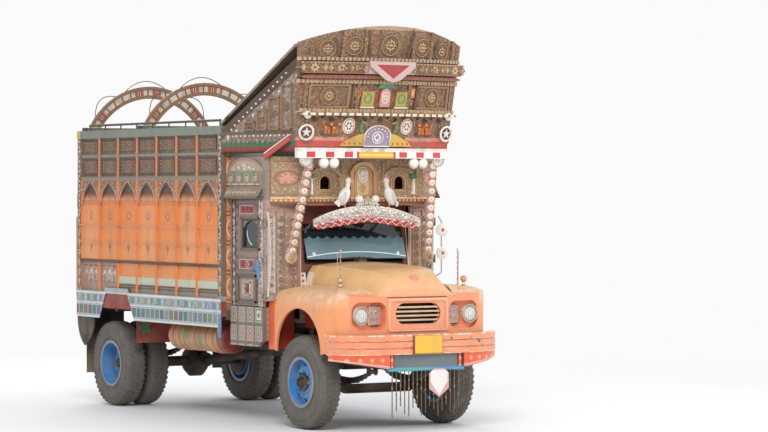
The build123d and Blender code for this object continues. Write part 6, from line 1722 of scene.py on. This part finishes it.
def make_tyre(heap, middle_x, middle_y):
    """Tyre with a grooved tread: carcass below, blocks up to the full radius."""
    base = Vector((middle_x, middle_y, tyre_r))
    profile = ((-0.100, 0.2585), (-0.1005, 0.284), (-0.110, 0.292), (-0.1215, 0.330), (-0.1235, 0.399),
            (-0.1165, 0.452), (-0.1025, 0.482), (-0.088, 0.4975), (-0.045, 0.4995), (0.045, 0.4995),
            (0.088, 0.4975), (0.1025, 0.482), (0.1165, 0.452), (0.1235, 0.399), (0.1215, 0.330),
            (0.110, 0.292), (0.1005, 0.284), (0.100, 0.2585))
    count = 72
    points = []
    for out, radius in profile:
        for number in range(count):
            turn = 2 * pi * number / count
            points.append(base + Vector((out, radius * cos(turn), radius * sin(turn))))
    heap.skin(points, count, closed=True)
    for out, radius, line in ((-0.1185, 0.312, 0.0035), (0.1185, 0.312, 0.0035), (-0.1215, 0.425, 0.003),
                              (0.1215, 0.425, 0.003)):
        heap.tube([base + Vector((out, radius * cos(turn), radius * sin(turn)))
                for turn in (2 * pi * step / 48 for step in range(48))], line, 5, closed=True)
    pitches = 46
    rows = ((-0.093, 0.036, 0.4895, 0.030, 0.30, 0.5), (-0.040, 0.036, 0.5032, 0.036, 0.22, 0.0),
            (0.040, 0.036, 0.5032, 0.036, -0.22, 0.5), (0.093, 0.036, 0.4895, 0.030, -0.30, 0.0),
            (0.0, 0.026, 0.5032, 0.034, 0.0, 0.25))
    for out, wide, radius, long, skew, shift in rows:
        for number in range(pitches):
            turn = 2 * pi * (number + shift) / pitches
            spin = Matrix.Rotation(turn, 3, "X")
            edge = abs(out) > 0.08
            tilt = Matrix.Rotation(copysign(0.42, out) if edge else 0.0, 3, "Y")
            turned = spin @ tilt @ Matrix.Rotation(skew, 3, "Z")
            heap.box(base + spin @ Vector((out, 0, radius)), (wide, long, 0.0105), turned)


def make_tyres():
    """Four treaded tyres, or pairs of them, in place of the plain ones."""
    for word, side in sides:
        front = Heap()
        make_tyre(front, side * 0.855, front_axle)
        piece = front.make(f"Tread front {word}", rubber, f"wheel_front_{word}")
        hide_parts(f"tyre_front_{word}")
        twins = Heap()
        make_tyre(twins, side * 0.725, rear_axle)
        make_tyre(twins, side * 1.035, rear_axle)
        piece = twins.make(f"Tread rear {word}", rubber, f"wheel_rear_{word}")
        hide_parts(f"tyres_rear_{word}")


def make_wheel_details():
    """Nut rings, hub caps and valve stems."""
    for word, side in sides:
        for name, middle_y, face_x, hub_x in (("front", front_axle, 0.875, 0.982),
                                              ("rear", rear_axle, 0.952, 1.05)):
            heap = Heap()
            base = Vector((side * face_x, middle_y, tyre_r))
            out = Vector((side, 0, 0))
            for number in range(8):
                turn = 2 * pi * number / 8
                arm = Vector((0, cos(turn), sin(turn)))
                heap.lathe(((0, 0.020), (0.006, 0.020), (0.007, 0.0165), (0.034, 0.0165), (0.036, 0.009),
                        (0.05, 0.009)), base + arm * 0.126, out, 6)
            for number in range(10):
                turn = 2 * pi * (number + 0.5) / 10
                arm = Vector((0, cos(turn), sin(turn)))
                heap.lathe(((0, 0.008), (0.012, 0.008)),
                        Vector((side * hub_x, middle_y, tyre_r)) + arm * 0.04, out, 6)
            valve = Vector((0, cos(0.9), sin(0.9)))
            heap.tube([base + valve * 0.205 + out * 0.01, base + valve * 0.21 + out * 0.05,
                    base + valve * 0.222 + out * 0.06], 0.005, 6)
            heap.make(f"Wheel nuts {name} {word}", dark_metal, f"wheel_{name}_{word}")


make_front_details()
make_tyres()
make_wheel_details()


# Load body

def arch_line(middle, half, spring, top, count=7):
    """Points of a pointed arch from one foot over the tip to the other."""
    left = []
    for number in range(count + 1):
        share = number / count
        height = spring + (top - spring) * share
        left.append((-half * cos(share * pi / 2) ** 0.75, height))
    right = [(-u, v) for u, v in reversed(left[:-1])]
    return [(middle + u, v) for u, v in left + right]


def make_wall_ornament():
    """Rods, arch rims, framed ovals, scrolls and studs on both side walls."""
    rods, carved, white, dark = heaps(4)
    for side in both:
        panel = side_face(side, 1.186)
        board = side_face(side, 1.1995)
        front = side_face(side, 1.2059)
        for level in (2.17, 1.97):
            rods.tube([panel.at(-0.60, level, 0.0265), panel.at(2.95, level, 0.0265)], 0.0045, 6)
            for place in rib_places:
                rods.box(front.at(place, level - 0.004, 0.004), (0.010, 0.022, 0.022))
        dark.tube([panel.at(-0.66 + 0.09 * step, 1.741 - 0.006 * (step % 2), 0.0265)
                for step in range(41)], 0.0062, 6)
        for step in range(74):
            dark.ball(panel.at(-0.64 + 0.049 * step, 1.741, 0.0255), (0.0075, 0.012, 0.011), 6)
        for middle in bay_middles:
            # Arch rim, scalloped line at its foot and scrolls beside it
            stroke(white, board, arch_line(middle, 0.208, 2.47, 2.688), 0.0052, 0.003)
            stroke(carved, board, arch_line(middle, 0.188, 2.47, 2.662), 0.0040, 0.002)
            foot = [(middle - 0.19 + 0.38 * step / 16, 2.474 + (0.012 if step % 2 else -0.006))
                    for step in range(17)]
            stroke(white, panel, foot, 0.0045, 0.006)
            for flip in both:
                spiral(white, panel, middle + flip * 0.10, 2.492, 0.036, pi / 2 + flip * 1.5, 1.1, 0.004,
                       flip, 0.005, 12)
                spiral(carved, board, middle + flip * 0.185, 2.655, 0.034, 0.6 * flip, 1.2, 0.0045, flip,
                       0.002, 12)
                spiral(carved, board, middle + flip * 0.112, 2.688, 0.016, 0.6 * flip, 1.0, 0.0035, flip,
                       0.002, 10)
                boss(white, board, middle + flip * 0.214, 2.59, 0.009, 0.006, 0.0, 8)
            # Carved rows above: columns, a frame with an oval, a small drop
            for low, high in ((2.765, 2.975), (3.025, 3.205)):
                centre = (low + high) / 2
                tall = (high - low) / 2 - 0.022
                border(dark, panel, oblong(middle, centre, 0.185, tall), 0.006, 0.005, 4)
                border(carved, panel, oblong(middle, centre, 0.155, tall - 0.026), 0.0045, 0.005, 4)
                loop(carved, panel, middle, centre, 0.055, tall - 0.045, 0.0045, 0.005, 16, 4)
                for flip in both:
                    spiral(carved, panel, middle + flip * 0.105, centre, 0.03, pi / 2, 1.1, 0.004, flip,
                           0.005, 10)
                    for step in range(4):
                        boss(white, panel, middle + flip * 0.172,
                             low + 0.04 + step * (high - low - 0.08) / 3, 0.006, 0.007, 0.0, 6)
            for step in range(13):
                u = middle - 0.204 + 0.034 * step
                slab(carved, front, oblong(u, 2.744, 0.008, 0.008), 0.006, 0.0)
        # Ledge and bracket work over the rear wheel
        for middle in bay_middles[:5]:
            stroke(dark, panel, [(middle - 0.21, 1.47), (middle + 0.21, 1.47)], 0.008, 0.004)
            for step in range(7):
                boss(white, panel, middle - 0.18 + 0.06 * step, lattice_z, 0.008, 0.007, 0.0, 6)
        for middle in bay_middles[5:]:
            for step in (-1, 0, 1):
                u = middle + step * 0.125
                border(white, panel, arch_outline(u, 1.49, 0.045, 1.60, 1.67, 6), 0.005, 0.004, 4)
                bloom(carved, panel, u, 1.565, 0.03, 5, 0.008, 0.002)
            for flip in both:
                spiral(white, panel, middle + flip * 0.062, 1.665, 0.028, -pi / 2, 1.1, 0.0045, flip,
                       0.005, 10)
        # Vine on the end posts
        for place in post_middles:
            for step in range(15):
                v = 1.47 + 0.117 * step
                flip = swing(step)
                spiral(white, front, place + flip * 0.008, v, 0.026, flip * 1.6, 1.2, 0.0042, flip, 0.004,
                       10)
                boss(carved, front, place - flip * 0.024, v + 0.05, 0.010, 0.008, 0.0, 7)
    rods.make("Wall rods", plain("Thin pale rods", "D3A98C", 0.45, 0.3, 0.5))
    carved.make("Wall carving", plain("Carved wall wood", "A5826A", 0.6, 0.0, 0.7))
    white.make("Wall white carving", plain("Worn wall white", "D8C3B2", 0.5, 0.0, 0.7))
    dark.make("Wall dark mouldings", plain("Dark moulding", "5B4537", 0.6, 0.0, 0.7))


def make_hoop_wires():
    """Thin bent wires that stand on the hoops and the top beams."""
    wires = Heap()
    for place in (2.8575, 1.4075):
        for start, stop, lift in ((2.50, 2.10, 0.09), (1.95, 1.35, 0.07), (1.05, 0.65, 0.09)):
            path = []
            for step in range(13):
                share = step / 12
                turn = start + (stop - start) * share
                radius = 0.938 + lift * sin(pi * share)
                path.append((hoop_x + radius * cos(turn), place, hoop_z + radius * sin(turn)))
            wires.tube(path, 0.005, 6)
    for u in (-1.02, 1.02):
        wires.tube([(u, 2.8575, 3.30), (u, 2.90, 3.36), (u * 1.02, 2.95, 3.38), (u * 1.04, 2.97, 3.30)],
                0.007, 6)
    wires.make("Hoop wires", dark_metal)


def make_rear_details():
    """Rings and flowers on the tailgate, and lamps on the rear posts."""
    red, dark, bright, gate_red, gate_rings = heaps(5)
    gate = Face(lambda u, v, out: (u, 3.0455 + out, v))
    for side in both:
        for row in (1.5615, 2.0065):
            for u in (0.19, 0.575, 0.957):
                loop(gate_rings, gate, side * u - 0.016, row, 0.128, 0.128, 0.006, 0.003, 24, 5)
                bloom(gate_red, gate, side * u - 0.016, row, 0.036, 8, 0.008, 0.002)
        lamp = Vector((side * 1.176, 3.0175, 2.46))
        dark.box(lamp + Vector((0, 0.009, 0)), (0.052, 0.018, 0.16))
        for number, heap in ((-1, red), (1, bright)):
            heap.lathe(((0, 0.024), (0.012, 0.022), (0.018, 0.012)),
                    lamp + Vector((0, 0.0175, number * 0.04)), (0, 1, 0), 16)
    gate_red.make("Tailgate flowers", red_enamel, "tailgate")
    gate_rings.make("Tailgate rings", pressed_metal, "tailgate")
    red.make("Rear red lamps", red_enamel)
    dark.make("Rear lamp boxes", black_paint)
    bright.make("Rear white lamps", pressed_metal)


# Cab sides

def corner_face(side):
    return Face(lambda u, v, out: (side * (u + 0.26 * out), cab_corner + (u - 0.712) * 0.27 - 0.965 * out,
            v))


def make_corner_carving():
    """Pierced pale carving that fills the corner between door and windscreen."""
    white, pink, brown = heaps(3)
    for side in both:
        face = corner_face(side)
        for step in range(9):
            v = 1.50 + 0.093 * step
            flip = swing(step)
            spiral(white, face, 1.035, v, 0.034, flip * 1.3, 1.2, 0.006, flip, 0.006, 12)
            bloom(pink, face, 1.035, v + 0.046, 0.018, 6, 0.008, 0.003)
            spiral(brown, face, 0.935, v + 0.02, 0.036, -flip * 1.3, 1.2, 0.007, -flip, 0.006, 12)
            loop(brown, face, 0.80, v, 0.030, 0.036, 0.006, 0.006, 14)
            bloom(pink, face, 0.80, v, 0.022, 5, 0.010, 0.003)
            boss(white, face, 0.87, v + 0.045, 0.011, 0.010, 0.0, 8)
        for u in (0.985, 0.893, 0.745):
            stroke(brown, face, [(u, 1.42), (u, 2.36)], 0.008, 0.004)
        # Band that sweeps from the forehead down behind the garland
        sweep = [(1.075 - 0.03 * sin(pi * share), 1.42 + 0.93 * share)
                for share in (step / 14 for step in range(15))]
        stroke(white, face, sweep, 0.014, 0.006, 8)
        for step in range(12):
            bloom(white, face, 0.70 + 0.034 * step, 2.39, 0.019, 5, 0.010, 0.006)
            boss(pink, face, 0.70 + 0.034 * step, 2.355, 0.009, 0.010, 0.0, 7)
    white.make("Corner white carving", pale_lace)
    pink.make("Corner pink carving", plain("Worn pink", "BE8A83", 0.5, 0.0, 0.6))
    brown.make("Corner brown carving", plain("Worn brown", "9A7A66", 0.55, 0.0, 0.7))


def make_door_details(word, side):
    """Frames, flowers, vine and beads of one door, and its blue handle."""
    grey, white, red, blue = heaps(4)
    face = side_face(side, 1.10)
    framed(grey, face, -1.15, 2.11, 0.198, 0.172, 0.011, 0.016)
    framed(grey, face, door_middle, door_box_z, 0.205, 0.145, 0.012, 0.018)
    framed(white, face, door_middle, door_box_z, 0.075, 0.072, 0.006, 0.012)
    spiral(red, face, door_middle, door_box_z, 0.045, 1.2, 1.3, 0.006, 1, 0.008)
    for level in (door_plaque_z, door_lower_z):
        border(white, face, oblong(door_middle, level, 0.165, 0.048), 0.006, 0.003)
        for step in (-1, 0, 1):
            bloom(red, face, door_middle + 0.09 * step, level, 0.026, 6, 0.007, 0.002)
    for step in range(12):
        v = 1.37 + 0.094 * step
        flip = swing(step)
        spiral(white, face, door_rear_y, v, 0.026, flip * 1.4, 1.2, 0.0045, flip, 0.004, 10)
        boss(red, face, door_front_y, v, 0.012, 0.009, 0.0, 8)
        loop(white, face, door_front_y, v, 0.024, 0.032, 0.004, 0.003, 12, 4)
        spiral(grey, face, -1.30, v, 0.022, flip * 1.4, 1.0, 0.0045, flip, 0.003, 9)
        spiral(grey, face, -0.835, v, 0.020, flip * 1.4, 1.0, 0.0045, flip, 0.003, 9)
    # Blue handle plate, bar and grip
    blue.box(face.at(-1.335, 1.715, 0.008), (0.016, 0.042, 0.215))
    blue.box(face.at(-1.268, 1.735, 0.012), (0.018, 0.135, 0.034))
    blue.lathe(((0, 0.022), (0.03, 0.020), (0.036, 0.01)), face.at(-1.235, 1.735, 0.01), (side, 0, 0), 14)
    body = f"door_{word}"
    grey.make(f"Door frames {word}", door_grey, body)
    white.make(f"Door white carving {word}", door_white, body)
    red.make(f"Door red flowers {word}", door_red, body)
    blue.make(f"Door handle {word}", door_blue, body)


def make_canopy_details():
    """Ringed flowers, scrolls, small arches and dentils of both canopies."""
    rings, white = heaps(2)
    for side in both:
        row = side_face(side, 1.1445)
        head = side_face(side, 1.1305)
        for number in range(4):
            u = canopy_middle + (number - 1.5) * 0.18
            loop(rings, row, u, canopy_row_z, 0.055, 0.055, 0.008, 0.003, 18)
            bloom(white, row, u, canopy_row_z, 0.036, 6, 0.009, 0.002)
        for reach, v, size in ((0, 2.862, 0.046), (0.125, 2.838, 0.034), (-0.125, 2.838, 0.034),
                               (0.225, 2.816, 0.022), (-0.225, 2.816, 0.022)):
            u = canopy_middle + reach
            for flip in both:
                spiral(white, head, u + flip * size * 0.55, v, size * 0.55, pi / 2, 1.2, 0.0055, flip,
                       0.004, 12)
        slope = Face(lambda u, v, out: (side * (1.1307 + (2.645 - v) * 0.52 + 0.887 * out), u,
                v + 0.461 * out))
        for step in range(11):
            u = canopy_middle + (step - 5) * 0.064
            border(rings, slope, arch_outline(u, 2.535, 0.024, 2.585, 2.615, 6), 0.0045, 0.003, 4)
            boss(white, slope, u, 2.565, 0.011, 0.008, 0.0, 8)
        arc = [(canopy_middle + 0.345 * cos(turn), 2.797 + 0.14 * sin(turn))
               for turn in (pi * step / 16 for step in range(17))]
        stroke(rings, head, arc, 0.009, 0.0, 6)
        for step in range(22):
            slab(white, row, oblong(canopy_middle - 0.34 + 0.0324 * step, 2.655, 0.009, 0.009), 0.008,
                 0.0)
    rings.make("Canopy rings", plain("Canopy wood", "B59A80", 0.55, 0.0, 0.7))
    white.make("Canopy white scrolls", plain("Worn canopy white", "D9D0C0", 0.5, 0.0, 0.6))


def make_visor_peak():
    """Pierced pale peak on the visor's middle, between the knobs."""
    lace = Heap()
    for step in range(-5, 6):
        u = step * 0.028
        high = 0.085 * (1 - abs(step) / 6)
        foot = visor_top(u)
        stroke(lace, visor_face, [(u, foot - 0.012), (u, foot + high)], 0.006, 0.004)
        boss(lace, visor_face, u, foot + high, 0.013, 0.012, 0.0, 8)
    for flip in both:
        for step in range(3):
            spiral(lace, visor_face, flip * (0.03 + 0.045 * step), visor_top(0.05) + 0.03 - 0.008 * step,
                   0.024, pi / 2, 1.2, 0.006, flip, 0.012, 12)
    lace.make("Visor peak", pale_lace)


def make_fringe_drops():
    """Small leaf drops on the hanging chains."""
    drops = Heap()
    for number in range(17):
        u = -0.42 + 0.0525 * number
        low = 0.430 + 0.06 * cos(1.7 * number)
        drops.ball((u, -3.0122, low - 0.008), (0.012, 0.007, 0.019), 8)
        drops.ball((u, -3.0122, (low + 0.65) / 2), (0.010, 0.009, 0.011), 8)
    drops.make("Fringe drops", plain("Dull brass", "8F7650", 0.4, 0.7, 0.6))


# Seat

def cushion_shape(name, x_half, y_low, y_high, z_low, z_high, channel_axis):
    """Crowned pad with channels sewn across it and sides that pull in between the corners."""
    channels = 9
    middle = Vector((0, (y_low + y_high) / 2, (z_low + z_high) / 2))
    half = Vector((x_half, (y_high - y_low) / 2, (z_high - z_low) / 2))
    mesh = bpy.data.meshes.new(name)
    build = bmesh.new()
    bmesh.ops.create_cube(build, size=2)
    build.edges.ensure_lookup_table()
    bmesh.ops.subdivide_edges(build, edges=build.edges[:], cuts=30, use_grid_fill=True)
    for point in build.verts:
        u, v, w = point.co
        thin, flat = (w, v) if channel_axis == "z" else (v, w)
        crown = (1 - u ** 8) * (1 - flat ** 6)
        channel = 0.10 * (1 - abs(sin(channels * pi * u)) ** 0.6)
        swell = 0.80 + 0.20 * crown - channel * (1 - flat ** 6) * thin ** 2
        pull = 1 - 0.03 * (1 - abs(thin)) * crown
        ends = 1 - 0.012 * (1 - flat ** 2)
        u *= ends * (1 - 0.006 * thin ** 4)
        flat *= 1 - 0.035 * thin ** 6 - 0.01 * cos(pi * u / 2)
        thin *= swell * pull
        point.co = (u, flat, thin) if channel_axis == "z" else (u, thin, flat)
    for point in build.verts:
        point.co = middle + Vector(a * b for a, b in zip(point.co, half))
    build.to_mesh(mesh)
    build.free()
    piece = bpy.data.objects.new(name, mesh)
    bpy.context.scene.collection.objects.link(piece)
    mesh.polygons.foreach_set("use_smooth", [True] * len(mesh.polygons))
    mesh.materials.append(seat_cloth)
    return piece


def make_seat():
    """Padded cushion and back over a plain base."""
    cushion = cushion_shape("seat_cushion", 0.993, -1.2565, -0.8595, 1.4305, 1.5695, "z")
    back = cushion_shape("seat_back", 0.993, -0.8565, -0.7385, 1.472, 2.0685, "y")
    base = Heap()
    base.box((0, -1.05, 1.372), (1.70, 0.30, 0.104))
    for piece in (cushion, back):
        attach(piece, "truck")
        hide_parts("seat")
    base.make("Seat base", dark_wood)


make_wall_ornament()
make_hoop_wires()
make_rear_details()
make_corner_carving()
make_door_details("right", -1)
make_door_details("left", 1)
make_canopy_details()
make_visor_peak()
make_fringe_drops()
make_seat()
